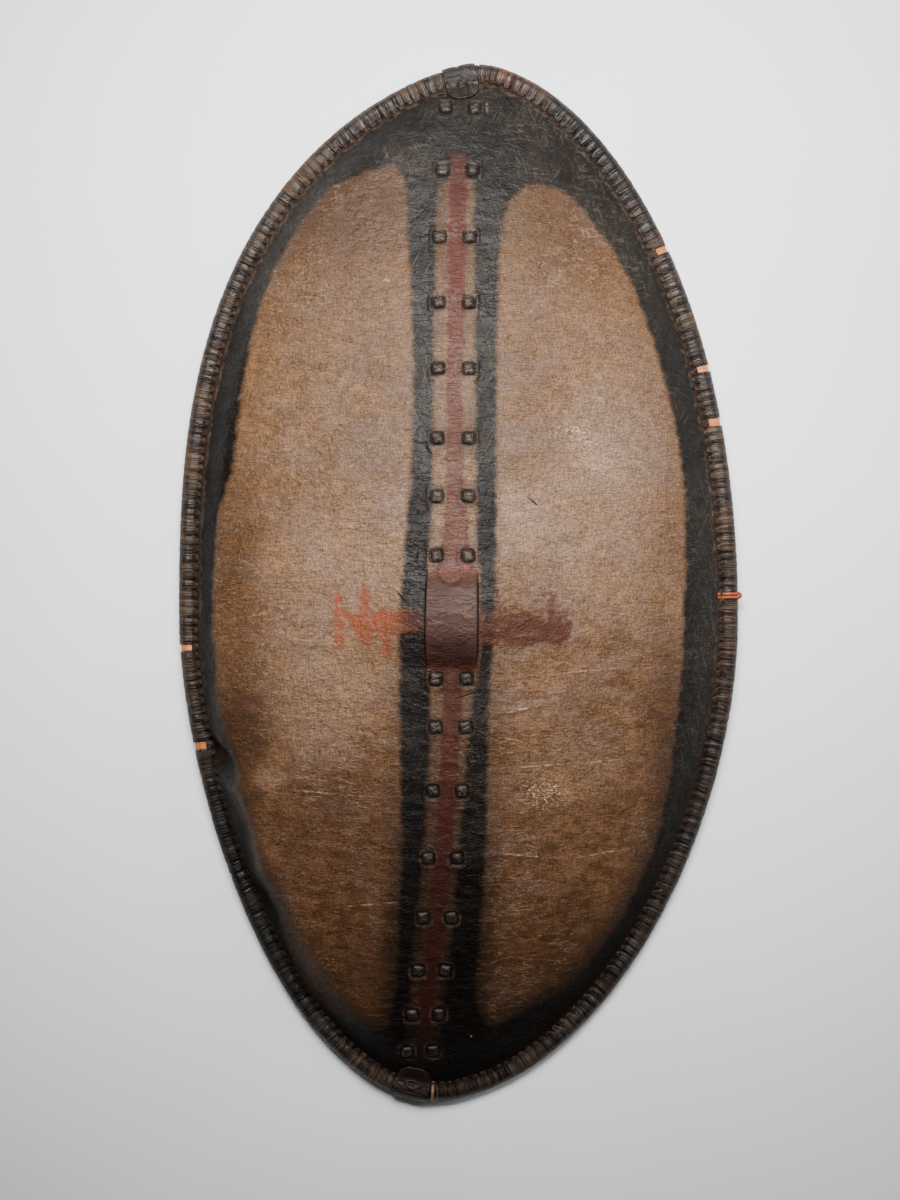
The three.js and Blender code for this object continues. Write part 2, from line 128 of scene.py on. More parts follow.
THONG_NODES = [f"thong_{index + 1:02d}" for index in range(len(THONG_LEVELS))]
THONG_T = 2.6
THONG_W = 6.0
THONG_CLEAR = 0.5
WRAPS = {
    "top": {"x": 1.5, "width": 35.0, "reach": 16.0, "knot": 11.0},
    "foot": {"x": -50.0, "width": 37.0, "reach": 14.0, "knot": 6.0},
}
WRAP_T = 2.6
WRAP_CORNER = 14.0
SIDE_TIE_Y = -14.0
FOOT_TIE_X = -27.5
CLEAR = 0.3
# Where a turn of the rim's lacing is missing, so that the roll under it shows.
RIM_GAPS = ((214, 350), (259, 225), (268, 164), (-286, -71), (-274, -170))
RIM_GAP_HALF = 11.0

# The paint on the face, as closed outlines round what stays unpainted.
LEFT_FIELD = (
    (-56, 438), (-94, 426), (-134, 413), (-165, 372), (-188, 332), (-205, 293), (-216, 246), (-225, 200),
    (-228, 158), (-232, 118), (-241, 94), (-250, 70), (-253, 23), (-255, -40), (-251, -78), (-249, -116),
    (-243, -153), (-230, -190), (-229, -222), (-226, -253), (-212, -287), (-197, -325), (-184, -367),
    (-168, -426), (-130, -455), (-92, -467), (-75, -464), (-66, -433), (-61, -357), (-59, -283),
    (-58, -210), (-60, -139), (-60, -74), (-59, -19), (-54, 42), (-46, 132), (-46, 214), (-48, 287),
    (-52, 351),
)
RIGHT_FIELD = (
    (85, 416), (64, 409), (51, 391), (42, 352), (40, 287), (38, 183), (38, 102), (38, 21), (35, -59),
    (30, -119), (29, -180), (27, -283), (21, -378), (17, -433), (28, -465), (48, -459), (85, -442),
    (119, -421), (148, -385), (171, -354), (205, -280), (218, -216), (229, -122), (232, -39), (235, 44),
    (233, 106), (226, 158), (218, 195), (199, 263), (174, 326), (142, 373), (113, 407),
)
MIDDLE_STRIP = (
    (-20, 417), (-23, 390), (-24, 287), (-26, 132), (-29, 31), (-31, 11), (-32, -44), (-31, -87), (-28, -119),
    (-30, -200), (-36, -283), (-44, -357), (-49, -422), (-56, -477), (-58, -502), (-23, -501),
    (-18, -455), (-10, -389), (-3, -303), (4, -220), (9, -149), (15, -109), (20, -87), (21, -44),
    (20, 6), (17, 62), (16, 153), (16, 287), (16, 395), (13, 420),
)
# The red line down the strip: level, left edge, right edge.
RED_LINE = (
    (-512, -44, -38), (-490, -47, -33), (-450, -42, -28), (-400, -37, -20), (-345, -33, -13),
    (-280, -25, -8), (-212, -20, -3), (-147, -17, 2), (-110, -16, 4), (-95, -22, 12), (-88, -31, 19),
    (-38, -33, 20), (6, -31, 19), (14, -24, 13), (36, -18, 11), (82, -13, 5), (153, -12, 4), (256, -11, 5),
    (362, -9, 7), (432, -8, 9), (450, -5, 6),
)
# The red bars across: corners of each brush stroke.
RED_BARS = (
    ((-120, -33), (-31, -28), (-31, -52), (-104, -50)),
    ((-127, -9), (-118, -12), (-117, -66), (-125, -69)),
    ((-100, -3), (-90, -10), (-88, -66), (-97, -62)),
    ((-79, -34), (-70, -36), (-68, -76), (-77, -74)),
    ((20, -29), (112, -38), (109, -63), (20, -61)),
    ((36, -6), (43, -8), (45, -44), (35, -44)),
    ((88, -12), (97, -16), (98, -48), (88, -46)),
)


def smooth_step(value, low, high):
    """0 up to low, 1 from high on, and an even curve between them."""
    share = np.clip((value - low) / (high - low), 0.0, 1.0)
    return share * share * (3.0 - 2.0 * share)


def mix(low, high, share):
    return low + (high - low) * share


def round_angles(count):
    """Evenly spaced angles once round."""
    return np.arange(count) * 2 * math.pi / count


def unit(vectors):
    """Vectors with their length made 1."""
    return vectors / np.linalg.norm(vectors, axis=-1, keepdims=True)


# The outline, the dome and the lines on them.
def reach_to(y):
    """How far the tip on a level's side is from the widest level."""
    return np.where(y > WIDEST_Y, HALF_LENGTH - WIDEST_Y, HALF_LENGTH + WIDEST_Y)


def towards_tip(y):
    """0 at the widest level and 1 at either tip."""
    return np.clip(np.abs(y - WIDEST_Y) / reach_to(y), 0.0, 1.0)


def level_at(share):
    """The level at a share of the way from the widest one to the top, or, below 0, to the foot."""
    return WIDEST_Y + share * np.where(share > 0, HALF_LENGTH - WIDEST_Y, HALF_LENGTH + WIDEST_Y)


def side_x(y, side):
    """The outline's x at a level, on the left (-1) or the right (1)."""
    top = y > WIDEST_Y
    bend = np.where(top, QUARTERS["top", side][0], QUARTERS["foot", side][0])
    fill = np.where(top, QUARTERS["top", side][1], QUARTERS["foot", side][1])
    full = (1.0 - towards_tip(y) ** bend) ** fill
    tip = np.where(top, TIP_X["top"], TIP_X["foot"])
    return side * RIM_WIDTH / 2 * full + tip * (1.0 - full)


def rim_line(turn):
    """Points on the middle line of the rim, at angles round the shield."""
    y = level_at(np.sin(turn))
    room = np.sqrt(np.maximum(1.0 - towards_tip(y) ** 2, TINY))
    across = np.clip(np.cos(turn) / room, -1.0, 1.0)
    left, right = side_x(y, -1), side_x(y, 1)
    return np.stack([(left + right) / 2 + across * (right - left) / 2, y], axis=-1)


def out_at(x, y):
    """How far out a place lies, 0 at the middle and 1 at the edge, and on which side."""
    left, right = side_x(y, -1), side_x(y, 1)
    across = np.clip((2 * x - left - right) / np.maximum(right - left, 1e-6), -1.2, 1.2)
    share = towards_tip(y)
    return np.sqrt(share**2 + (1 - share**2) * across**2), across


RIM_STEPS = 14400
TURNS = np.linspace(-math.pi, math.pi, RIM_STEPS + 1)
RIM_POINTS = rim_line(TURNS)
RIM_RUN = np.concatenate([[0.0], np.cumsum(np.linalg.norm(np.diff(RIM_POINTS, axis=0), axis=1))])


def turn_at_x(x, top):
    """The angle of the rim's point at an x, in its top half or its foot half."""
    half = RIM_POINTS[:, 1] > 0 if top else RIM_POINTS[:, 1] < 0
    return TURNS[int(np.argmin(np.where(half, np.abs(RIM_POINTS[:, 0] - x), FAR)))]


def rim_frame(turn):
    """The rim's point, outward direction and direction of travel at angles, flat."""
    step = 0.02
    along = unit(rim_line(turn + step) - rim_line(turn - step))
    outward = np.stack([along[..., 1], -along[..., 0]], axis=-1)
    return rim_line(turn), outward, along


WRAP_TURN = {end: turn_at_x(WRAPS[end]["x"], end == "top") for end in WRAPS}
WRAP_PLACE = {end: rim_line(np.array(turn)) for end, turn in WRAP_TURN.items()}


def rim_z(x, y):
    """Height of the rim's middle line: it bows up along the sides and lifts over the wraps."""
    lift = 0.0
    for end, sign in (("top", 1), ("foot", -1)):
        away = np.hypot(x - WRAP_PLACE[end][0], y - WRAP_PLACE[end][1])
        near = 1.0 - smooth_step(away, WRAPS[end]["width"] * 0.8, WRAPS[end]["width"] * 2)
        lift = lift + np.where(np.sign(y) == sign, (WRAP_T + CLEAR) * near, 0.0)
    return RIM_HEIGHT / 2 + RIM_BOW * (1.0 - smooth_step(np.abs(y), 0.0, RIM_BOW_REACH)) + lift


def stave_x(y):
    """The stave's middle line: a smooth curve through STAVE_LINE."""
    levels = np.array([share * HALF_LENGTH for share, _ in STAVE_LINE])
    places = np.array([x for _, x in STAVE_LINE])
    slopes = np.gradient(places, levels)
    at = np.clip(np.searchsorted(levels, y) - 1, 0, len(levels) - 2)
    step = levels[at + 1] - levels[at]
    t = (y - levels[at]) / step
    start = (2 * t**3 - 3 * t**2 + 1) * places[at] + (t**3 - 2 * t**2 + t) * step * slopes[at]
    return start + (3 * t**2 - 2 * t**3) * places[at + 1] + (t**3 - t**2) * step * slopes[at + 1]


def hide_z(x, y):
    """Height of the hide's face without its boss and its wrinkles."""
    out, across = out_at(x, y)
    leftness = smooth_step(-across, 0.0, 0.8)
    bulge = np.exp(-(((y - WALL_FOOT_Y) / WALL_FOOT_REACH) ** 2))
    wall = mix(WALL["right"], mix(WALL["left"], WALL["foot_left"], bulge), leftness)
    crown = 1.0 - out**DOME_POWER
    shoulder = 1.0 - smooth_step(out, SHOULDER, 1.0)
    brow = BROW["rise"] * np.exp(
        -(((x - stave_x(BOSS_Y)) / BROW["across"]) ** 2) - ((y - BOSS_Y) / BROW["along"]) ** 2
    )
    return rim_z(x, y) + HIDE_T / 2 + DOME * mix(crown, shoulder, wall) + brow


def hide_normal(x, y):
    """The direction out of the face, without its boss and its wrinkles."""
    step = 0.5
    slope_x = (hide_z(x + step, y) - hide_z(x - step, y)) / (2 * step)
    slope_y = (hide_z(x, y + step) - hide_z(x, y - step)) / (2 * step)
    return unit(np.stack([-slope_x, -slope_y, np.ones_like(slope_x)], axis=-1))


def boss_rise(x, y, inset):
    """Rise of the boss over the hide. An inset gives its hollow side."""
    along = np.abs(y - BOSS_Y) / (BOSS_LENGTH / 2)
    arch = BOSS_RISE * np.maximum(1.0 - along**BOSS_POWER, 0.0) ** BOSS_FALL
    across = np.abs(x - stave_x(y))
    half = BOSS_WIDTH / 2 - inset
    return arch * (1.0 - smooth_step(across, half + BOSS_SIDE[0], half + BOSS_SIDE[1]))


def lumps(x, y, size_x, size_y, seed):
    """Smooth random relief, about -1 to 1, with lumps of the given size."""
    cells = 128
    table = np.random.default_rng(seed).uniform(-1.0, 1.0, (cells, cells))
    u, v = x / size_x + 37.3, y / size_y + 51.7
    i, j = np.floor(u).astype(int), np.floor(v).astype(int)
    share_u, share_v = smooth_step(u - i, 0.0, 1.0), smooth_step(v - j, 0.0, 1.0)
    i, j, next_i, next_j = i % cells, j % cells, (i + 1) % cells, (j + 1) % cells
    near = mix(table[i, j], table[next_i, j], share_u)
    far = mix(table[i, next_j], table[next_i, next_j], share_u)
    return mix(near, far, share_v)


def bump_at(x, y, place, size, angle):
    """1 at a place, falling to 0 over its size, which is turned by an angle in degrees."""
    turn = math.radians(angle)
    along = (x - place[0]) * math.cos(turn) + (y - place[1]) * math.sin(turn)
    aside = (y - place[1]) * math.cos(turn) - (x - place[0]) * math.sin(turn)
    return np.exp(-((along / size[0]) ** 2) - (aside / size[1]) ** 2)


# Dents and swellings of the face: middle, reach along and aside, angle, rise. Most are the buckle
# in the bulged stretch at the lower left. The last three are a fold and a sag below the boss.
DENTS = (
    ((-246, -184), (30, 9), -42, -9.0), ((-214, -206), (34, 18), -20, 6.0),
    ((-246, -130), (34, 12), -80, 3.0), ((-224, -258), (26, 9), -75, -4.0),
    ((-198, -290), (30, 15), -60, 3.5), ((-205, -335), (26, 8), -60, -4.0),
    ((-172, -246), (34, 30), 0, -3.0), ((-150, -330), (60, 70), 0, -2.5),
    ((-120, -30), (60, 90), 0, -1.5), ((64, -127), (26, 2.6), 12, 1.6),
    ((64, -133), (28, 3.4), 12, -1.3), ((70, -210), (70, 40), 10, -1.5),
)
# Low relief of the whole face: height, size across and along, seed.
FACE_LUMPS = ((1.5, 120, 150, 3), (0.7, 46, 38, 5), (0.35, 17, 13, 7))
# Folds across the shield, slanting a little, and less high above the middle.
FOLD_SIZE = (70, 15)
FOLD_SLANT = 0.12
FOLD_HEIGHT = 0.8
FOLD_SHARE_ABOVE = 0.25
# Each knob sits in a pocket with a lip round it.
POCKET_DEPTH = 1.5
POCKET_REACH = 6.0
LIP_HEIGHT = 1.2
LIP_REACH = 8.8
LIP_WIDTH = 2.0


def thong_reach(y):
    """How far from the stave's middle line a thong's outer side runs."""
    return stave_width(y) / 2 + THONG_CLEAR + THONG_T


def stave_width(y):
    end = np.where(y > 0, STAVE_WIDTH["top"], STAVE_WIDTH["foot"])
    return mix(STAVE_WIDTH["middle"], end, np.abs(y) / STAVE_END["top"])


def knob_places():
    """Where the thongs come through the face: x and y of each knob."""
    places = []
    for level in THONG_LEVELS:
        middle = float(stave_x(np.array(level)))
        reach = float(thong_reach(np.array(level))) - THONG_T / 2
        places.extend([(middle - reach, level), (middle + reach, level)])
    return places


KNOBS = knob_places()


def face_relief(x, y):
    """Wrinkles, dents and the pockets round the knobs, along the face's normal."""
    out, _ = out_at(x, y)
    lower = smooth_step(-y, -60.0, 260.0)
    relief = 0.0
    for height, size_x, size_y, seed in FACE_LUMPS:
        relief = relief + height * lumps(x, y, size_x, size_y, seed)
    folds = 1.0 - np.abs(lumps(x, y + FOLD_SLANT * x, *FOLD_SIZE, 11)) * 2.2
    relief = relief + mix(FOLD_SHARE_ABOVE, 1.0, lower) * FOLD_HEIGHT * np.maximum(folds, 0.0) ** 2
    # The relief is pulled flatter where the hide is stitched to the rim.
    relief = relief * (1.0 - 0.6 * smooth_step(out, 0.9, 1.0))
    for middle, size, angle, rise in DENTS:
        relief = relief + rise * bump_at(x, y, middle, size, angle)
    for place_x, place_y in KNOBS:
        away = ((x - place_x) ** 4 + (0.9 * (y - place_y)) ** 4) ** 0.25
        relief = relief - POCKET_DEPTH * np.exp(-((away / POCKET_REACH) ** 2))
        relief = relief + LIP_HEIGHT * np.exp(-(((away - LIP_REACH) / LIP_WIDTH) ** 2))
    return relief


def face_point(x, y, lift=0.0):
    """A point on the finished face, or lifted off it, in millimetres."""
    normal = hide_normal(x, y)
    rise = boss_rise(x, y, 0.0) + face_relief(x, y) + lift
    return np.stack([x, y, hide_z(x, y)], axis=-1) + normal * rise[..., None]


# Meshes.
def loft(rings, loop=False):
    """A surface through rings of points. Without loop, both end rings are closed by a face."""
    rings = np.asarray(rings, float)
    count, around = rings.shape[:2]
    faces = []
    for i in range(count if loop else count - 1):
        here, there = i * around, (i + 1) % count * around
        for j in range(around):
            k = (j + 1) % around
            faces.append((here + j, here + k, there + k, there + j))
    if not loop:
        faces.append(tuple(range(around))[::-1])
        faces.append(tuple(range((count - 1) * around, count * around)))
    return rings.reshape(-1, 3), faces


def joined(shells):
    """Several closed shells as one."""
    points, faces, start = [], [], 0
    for shell_points, shell_faces in shells:
        points.append(shell_points)
        faces.extend(tuple(start + corner for corner in face) for face in shell_faces)
        start += len(shell_points)
    return np.concatenate(points), faces


def new_piece(name, points, faces, attributes=None, recalculate=True):
    """A smooth-shaded object at the origin from points in millimetres."""
    mesh = bpy.data.meshes.new(name)
    mesh.from_pydata((np.asarray(points) * MM).tolist(), [], faces)
    if recalculate:
        edit = bmesh.new()
        edit.from_mesh(mesh)
        bmesh.ops.recalc_face_normals(edit, faces=edit.faces)
        edit.to_mesh(mesh)
        edit.free()
    for label, values in (attributes or {}).items():
        mesh.attributes.new(label, "FLOAT", "POINT").data.foreach_set("value", np.asarray(values, float))
    mesh.polygons.foreach_set("use_smooth", [True] * len(mesh.polygons))
    mesh.update()
    piece = bpy.data.objects.new(name, mesh)
    bpy.context.scene.collection.objects.link(piece)
    return piece


def settle(piece, materials, nodes):
    """Gives a piece its materials, and says what it rides on and what it stands for."""
    piece.data.materials.clear()
    for material in materials:
        piece.data.materials.append(material)
    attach(piece, "root")
    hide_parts(*nodes)


# Materials.
def srgb(code):
    """An sRGB hex colour as linear red, green and blue."""
    parts = [int(code[i:i + 2], 16) / 255 for i in (1, 3, 5)]
    return tuple(c / 12.92 if c <= 0.04045 else ((c + 0.055) / 1.055) ** 2.4 for c in parts)


def add_node(tree, kind, inputs=None, **settings):
    """One node, with its settings and with a value or another node's socket for each input."""
    node = tree.nodes.new(kind)
    for name, value in settings.items():
        setattr(node, name, value)
    for name, value in (inputs or {}).items():
        if isinstance(value, bpy.types.NodeSocket):
            tree.links.new(value, node.inputs[name])
        else:
            node.inputs[name].default_value = value
    return node


def pattern(tree, place, sizes, low, high, detail=2.0, shift=0.0, turn=0.0, creases=False):
    """Noise as a mask from 0 to 1. sizes are those of its spots along each axis, in millimetres.

    turn is an angle in degrees. As creases it is 0 along the lines where the noise is even, and
    low and high count from there.
    """
    moved = add_node(tree, "ShaderNodeMapping", {
        "Vector": place,
        "Location": (shift, shift * 1.7, shift * 0.3),
        "Rotation": (0.0, 0.0, math.radians(turn)),
        "Scale": [size * MM for size in sizes],
    }, vector_type="TEXTURE")
    noise = add_node(tree, "ShaderNodeTexNoise",
                     {"Vector": moved.outputs[0], "Scale": 1.0, "Detail": detail, "Roughness": 0.6})
    value = noise.outputs["Fac"]
    if creases:
        value = add_node(tree, "ShaderNodeMath", {0: value, 1: 0.5}, operation="SUBTRACT").outputs[0]
        value = add_node(tree, "ShaderNodeMath", {0: value}, operation="ABSOLUTE").outputs[0]
    mask = add_node(tree, "ShaderNodeMapRange", {"Value": value, "From Min": low, "From Max": high},
                    interpolation_type="SMOOTHSTEP")
    return mask.outputs["Result"]


def edge_mask(tree, attribute, low, high, wobble=None, reach=0.0):
    """A mask from a distance kept on the mesh, whose edge wanders by reach millimetres with wobble."""
    distance = add_node(tree, "ShaderNodeAttribute", attribute_name=attribute).outputs["Fac"]
    if wobble is not None:
        distance = add_node(tree, "ShaderNodeMath", {0: wobble, 1: 2 * reach, 2: distance},
                            operation="MULTIPLY_ADD").outputs[0]
        distance = add_node(tree, "ShaderNodeMath", {0: distance, 1: reach},
                            operation="SUBTRACT").outputs[0]
    mask = add_node(tree, "ShaderNodeMapRange", {"Value": distance, "From Min": low, "From Max": high},
                    interpolation_type="SMOOTHSTEP")
    return mask.outputs["Result"]


def layered(tree, colour, layers):
    """Lays colours over one. Each layer is a colour and the masks and numbers that it is thinned by."""
    for top, *masks in layers:
        share = masks[0]
        for mask in masks[1:]:
            share = add_node(tree, "ShaderNodeMath", {0: share, 1: mask}, operation="MULTIPLY").outputs[0]
        if isinstance(colour, bpy.types.NodeSocket):
            under = colour
        else:
            under = (*colour, 1.0)
        if not isinstance(top, bpy.types.NodeSocket):
            top = (*top, 1.0)
        colour = add_node(tree, "ShaderNodeMix", {0: share, 6: under, 7: top}, data_type="RGBA").outputs[2]
    return colour


def spot(tree, place, middle, size, angle=0.0, core=0.2):
    """A soft ellipse on the face, full inside its core: middle and size in millimetres."""
    turned = add_node(tree, "ShaderNodeMapping", {
        "Vector": place,
        "Location": (middle[0] * MM, middle[1] * MM, 0.0),
        "Rotation": (0.0, 0.0, math.radians(angle)),
        "Scale": (size[0] * MM, size[1] * MM, 1000.0),
    }, vector_type="TEXTURE")
    length = add_node(tree, "ShaderNodeVectorMath", {0: turned.outputs[0]}, operation="LENGTH")
    mask = add_node(tree, "ShaderNodeMapRange",
                    {"Value": length.outputs["Value"], "From Min": 1.0, "From Max": core},
                    interpolation_type="SMOOTHSTEP")
    return mask.outputs["Result"]


def ramp_along(tree, place, start, end):
    """A mask that rises from 0 to 1 along the shield, between two levels in millimetres."""
    level = add_node(tree, "ShaderNodeSeparateXYZ", {"Vector": place}).outputs["Y"]
    mask = add_node(tree, "ShaderNodeMapRange",
                    {"Value": level, "From Min": start * MM, "From Max": end * MM},
                    interpolation_type="SMOOTHSTEP")
    return mask.outputs["Result"]


def new_material(name):
    """A node material with only its output. Returns the tree, its output and the object's coordinates."""
    material = bpy.data.materials.new(name)
    material.use_nodes = True
    tree = material.node_tree
    tree.nodes.clear()
    output = tree.nodes.new("ShaderNodeOutputMaterial")
    place = tree.nodes.new("ShaderNodeTexCoord").outputs["Object"]
    return material, tree, output, place


def bumps(tree, layers):
    """Relief from several heights, each with its depth in millimetres."""
    normal = None
    for height, depth in layers:
        inputs = {"Height": height, "Strength": 1.0, "Distance": depth * MM}
        if normal is not None:
            inputs["Normal"] = normal
        normal = add_node(tree, "ShaderNodeBump", inputs).outputs["Normal"]
    return normal


def finish_surface(tree, output, colour, roughness, normal, **constants):
    """The surface itself. Roughness is a number, or a mask and the roughness where it is 0 and 1."""
    if isinstance(roughness, tuple):
        mask, least, most = roughness
        roughness = add_node(tree, "ShaderNodeMapRange", {
            "Value": mask, "To Min": least, "To Max": most}).outputs["Result"]
    inputs = {"Base Color": colour, "Roughness": roughness, "Normal": normal}
    inputs.update({name.replace("_", " "): value for name, value in constants.items()})
    surface = add_node(tree, "ShaderNodeBsdfPrincipled", inputs)
    tree.links.new(surface.outputs[0], output.inputs["Surface"])


# Marks on the face as middle, half length and half width, angle. The cracks and nicks are dark. The
# scratches are pale and have a strength.
CRACKS = (
    ((-42, 24), (7.5, 1.1), 80), ((-58, -15), (11, 1.2), -50), ((25, 33), (9, 1.0), 14),
    ((75, 80), (9.5, 1.1), -42), ((11, -113), (24, 1.0), 18),
)
PALE_SCRATCHES = (
    ((66, -128), (24, 1.7), 12, 0.9), ((-74, 308), (5, 3), 0, 0.7), ((-192, 323), (4, 3), 30, 0.7),
    ((-106, 117), (6, 2), 10, 0.7), ((13, -474), (1.6, 1.6), 0, 1.0), ((30, 500), (2.2, 9), 0, 0.5),
    ((62, -160), (30, 1.4), -9, 0.5), ((105, -185), (84, 1.5), 3, 0.6), ((70, -279), (44, 1.4), -6, 0.5),
    ((150, -279), (38, 1.4), 7, 0.5), ((-130, -215), (60, 1.4), -4, 0.4), ((-90, -330), (46, 1.4), 6, 0.4),
    ((130, -90), (50, 1.2), 5, 0.35), ((-150, -60), (46, 1.2), -6, 0.3),
)
# Brown stains, with painted shade on the left flank, by the buckle and at the foot; and paler places, one of
# them a painted highlight on the swelling beside the buckle: middle, reach, strength.
BROWN_STAINS_AND_SHADE = (
    ((-232, 20), (44, 190), 0.38), ((-226, -150), (56, 110), 0.6), ((212, -150), (34, 160), 0.5),
    ((-120, 400), (150, 120), 0.78), ((90, 400), (130, 110), 0.5), ((-130, -250), (110, 90), 0.35),
    ((-80, -440), (170, 170), 0.65), ((100, -440), (160, 150), 0.6), ((-216, -150), (40, 58), 0.65),
    ((-160, -130), (60, 40), 0.3), ((70, -60), (60, 40), 0.25),
)
PALE_PLACES_AND_HIGHLIGHTS = (
    ((150, 190), (80, 150), 0.15), ((140, 60), (110, 140), 0.3), ((-120, 0), (110, 130), 0.3),
    ((60, 60), (40, 60), 0.35), ((-140, -120), (90, 80), 0.3), ((-192, -204), (24, 22), 0.18),
    ((120, -190), (70, 50), 0.2),
)
# Painted glints: places where the skin's grain is painted bright as highlights: middle and reach.
PAINTED_GLINTS = (((86, -212), (34, 26)), ((130, 143), (22, 22)), ((149, 118), (24, 13)), ((112, 152), (26, 11)))


def face_material(colours):
    """Painted rawhide: dried ox or buffalo skin, scraped, oiled and rubbed with black and red paint.

    The bare skin is mottled, has a fine criss-cross grain, and is creased in places. The paint is
    thin and rubbed, with hair-fine scratches, and has worn off along the stitched edge. The real
    grain is finer than a millimetre, and is drawn about twice as coarse so that it shows.
    """
    material, tree, output, place = new_material("painted_rawhide")
    clouds = pattern(tree, place, (90, 110, 90), 0.4, 0.64, 2.0)
    patches = pattern(tree, place, (46, 40, 44), 0.4, 0.66, 2.0, shift=3.1)
    stains = pattern(tree, place, (46, 32, 44), 0.46, 0.68, 3.0, shift=7.7)
    blotches = pattern(tree, place, (16, 12, 15), 0.42, 0.64, 2.0, shift=10.3)
    rub = pattern(tree, place, (7, 6, 7), 0.4, 0.64, 3.0, shift=8.8)
    weft = pattern(tree, place, (8, 1.9, 8), 0.4, 0.64, 2.0, shift=1.3)
    warp = pattern(tree, place, (1.9, 8, 8), 0.4, 0.64, 2.0, shift=5.9)
    grain = pattern(tree, place, (1.8, 1.8, 1.8), 0.4, 0.62, 1.0, shift=2.2)
    flecks = pattern(tree, place, (3.2, 1.3, 2.0), 0.54, 0.7, 2.0, shift=4.9)
    crinkles = pattern(tree, place, (30, 7, 14), 0.03, 0.0, 2.0, shift=9.4, creases=True)
    low = ramp_along(tree, place, 0.0, -400.0)
    high = ramp_along(tree, place, -400.0, 0.0)
    top_end = ramp_along(tree, place, 60.0, 440.0)

    # The bare skin, with the strip down the middle.
    strip = edge_mask(tree, "strip", -4.0, 4.0, blotches, 1.5)
    skin = layered(tree, colours.skin, [
        (colours.skin_grey, patches, spot(tree, place, (10, 60), (330, 360)), 0.75),
        (colours.skin_dark, clouds, 0.55),
        (colours.skin_dark, top_end, 0.6),
        (colours.skin_brown, stains, 0.42),
        (colours.skin_brown, stains, low, 0.4),
        (colours.skin_rust, low, 0.55),
        (colours.skin_brown, blotches, low, 0.6),
        (colours.skin_dark, blotches, 0.35),
        (colours.skin_grey, clouds, patches, 0.25),
        # A greyish pink patch on the right lobe, partly painted sheen.
        (colours.skin_grey, spot(tree, place, (165, 140), (75, 95)), 0.5),
    ])
    # Brown stains, partly painted shade on the left flank, by the buckle and at the foot.
    skin = layered(tree, skin, [
        (colours.skin_brown, spot(tree, place, middle, size), share) for middle, size, share in BROWN_STAINS_AND_SHADE])
    # Paler places, one of them a painted highlight on the swelling beside the buckle.
    skin = layered(tree, skin, [
        (colours.skin_pale, spot(tree, place, middle, size), share) for middle, size, share in PALE_PLACES_AND_HIGHLIGHTS])
    skin = layered(tree, skin, [
        (colours.strip, strip, high, 0.35),
        (colours.skin_brown, strip, patches, 0.35),
        (colours.skin_brown, strip, top_end, 0.4),
        (colours.black_worn, strip, spot(tree, place, (-22, 392), (15, 60)), 0.5),
        (colours.grain_dark, strip, low, 0.6),
        (colours.grain_dark, warp, 0.28),
        (colours.grain_dark, weft, 0.3),
        (colours.grain_dark, grain, 0.32),
        # Pale flecks, and pale crinkle lines that are partly painted highlight.
        (colours.fleck, flecks, stains, 0.16),
        (colours.fleck, crinkles, clouds, 0.13),
        (colours.skin_rust, strip, spot(tree, place, (-42, -440), (34, 90)), blotches, 0.5),
    ])
    # Painted glints over the grain.
    skin = layered(tree, skin, [
        (colours.fleck, flecks, spot(tree, place, middle, size), 0.9) for middle, size in PAINTED_GLINTS])

    # The black paint: rubbed, and scratched most at the top.
    scratches = [
        pattern(tree, place, (1.0, 30, 30), 0.6, 0.72, 1.0, shift=shift, turn=turn)
        for turn, shift in ((14.0, 12.4), (-26.0, 15.1))]
    paint = layered(tree, colours.black, [
        (colours.black_worn, clouds, high, 0.25),
        (colours.black_worn, blotches, high, 0.25),
        (colours.skin_brown, stains, rub, high, 0.2),
        (colours.black_worn, weft, high, 0.25),
        (colours.scratch, scratches[0], clouds, high, 0.11),
        (colours.scratch, scratches[1], patches, high, 0.1),
        (colours.scratch, crinkles, clouds, high, 0.08),
        # The black on the left flank painted darker, as painted shade.
        (colours.black, spot(tree, place, (-262, 80), (90, 420)), 0.8),
    ])
    outside = edge_mask(tree, "field", 3.5, -4.0, blotches, 1.2)
    face = layered(tree, skin, [
        (colours.black, edge_mask(tree, "field", 26.0, 0.0, blotches, 5.0), low, 0.7),
        (paint, outside),
    ])

    # The red paint: a line down the strip, a fresher bar on the left and a darker one on the right.
    red = edge_mask(tree, "red", -3.0, 2.0, blotches, 1.2)
    bars = edge_mask(tree, "bars", -4.5, 3.5, rub, 2.0)
    fresh = spot(tree, place, (-112, -38), (72, 100), core=0.45)
    fading = ramp_along(tree, place, 452.0, 422.0)
    bar_paint = layered(tree, colours.maroon, [(colours.orange, fresh), (colours.skin_rust, blotches, 0.3)])
    face = layered(tree, face, [
        (colours.maroon, spot(tree, place, (74, -46), (80, 32)), blotches, 0.8),
        (colours.maroon, spot(tree, place, (70, -46), (64, 24)), 0.4),
        (colours.maroon, spot(tree, place, (60, -12), (34, 40)), rub, 0.35),
        (bar_paint, bars, 0.62),
        (bar_paint, bars, rub, 0.6),
        (colours.red, red, fading, 0.7),
        (colours.red, red, ramp_along(tree, place, 150.0, 380.0), fading, 0.75),
        (colours.maroon_dark, red, spot(tree, place, (-1, 412), (16, 50)), fading, 0.5),
        (colours.maroon_dark, red, low, 0.85),
        (colours.maroon_dark, red, rub, 0.2),
        (colours.black, spot(tree, place, (-46, -510), (70, 80)), 0.7),
    ])
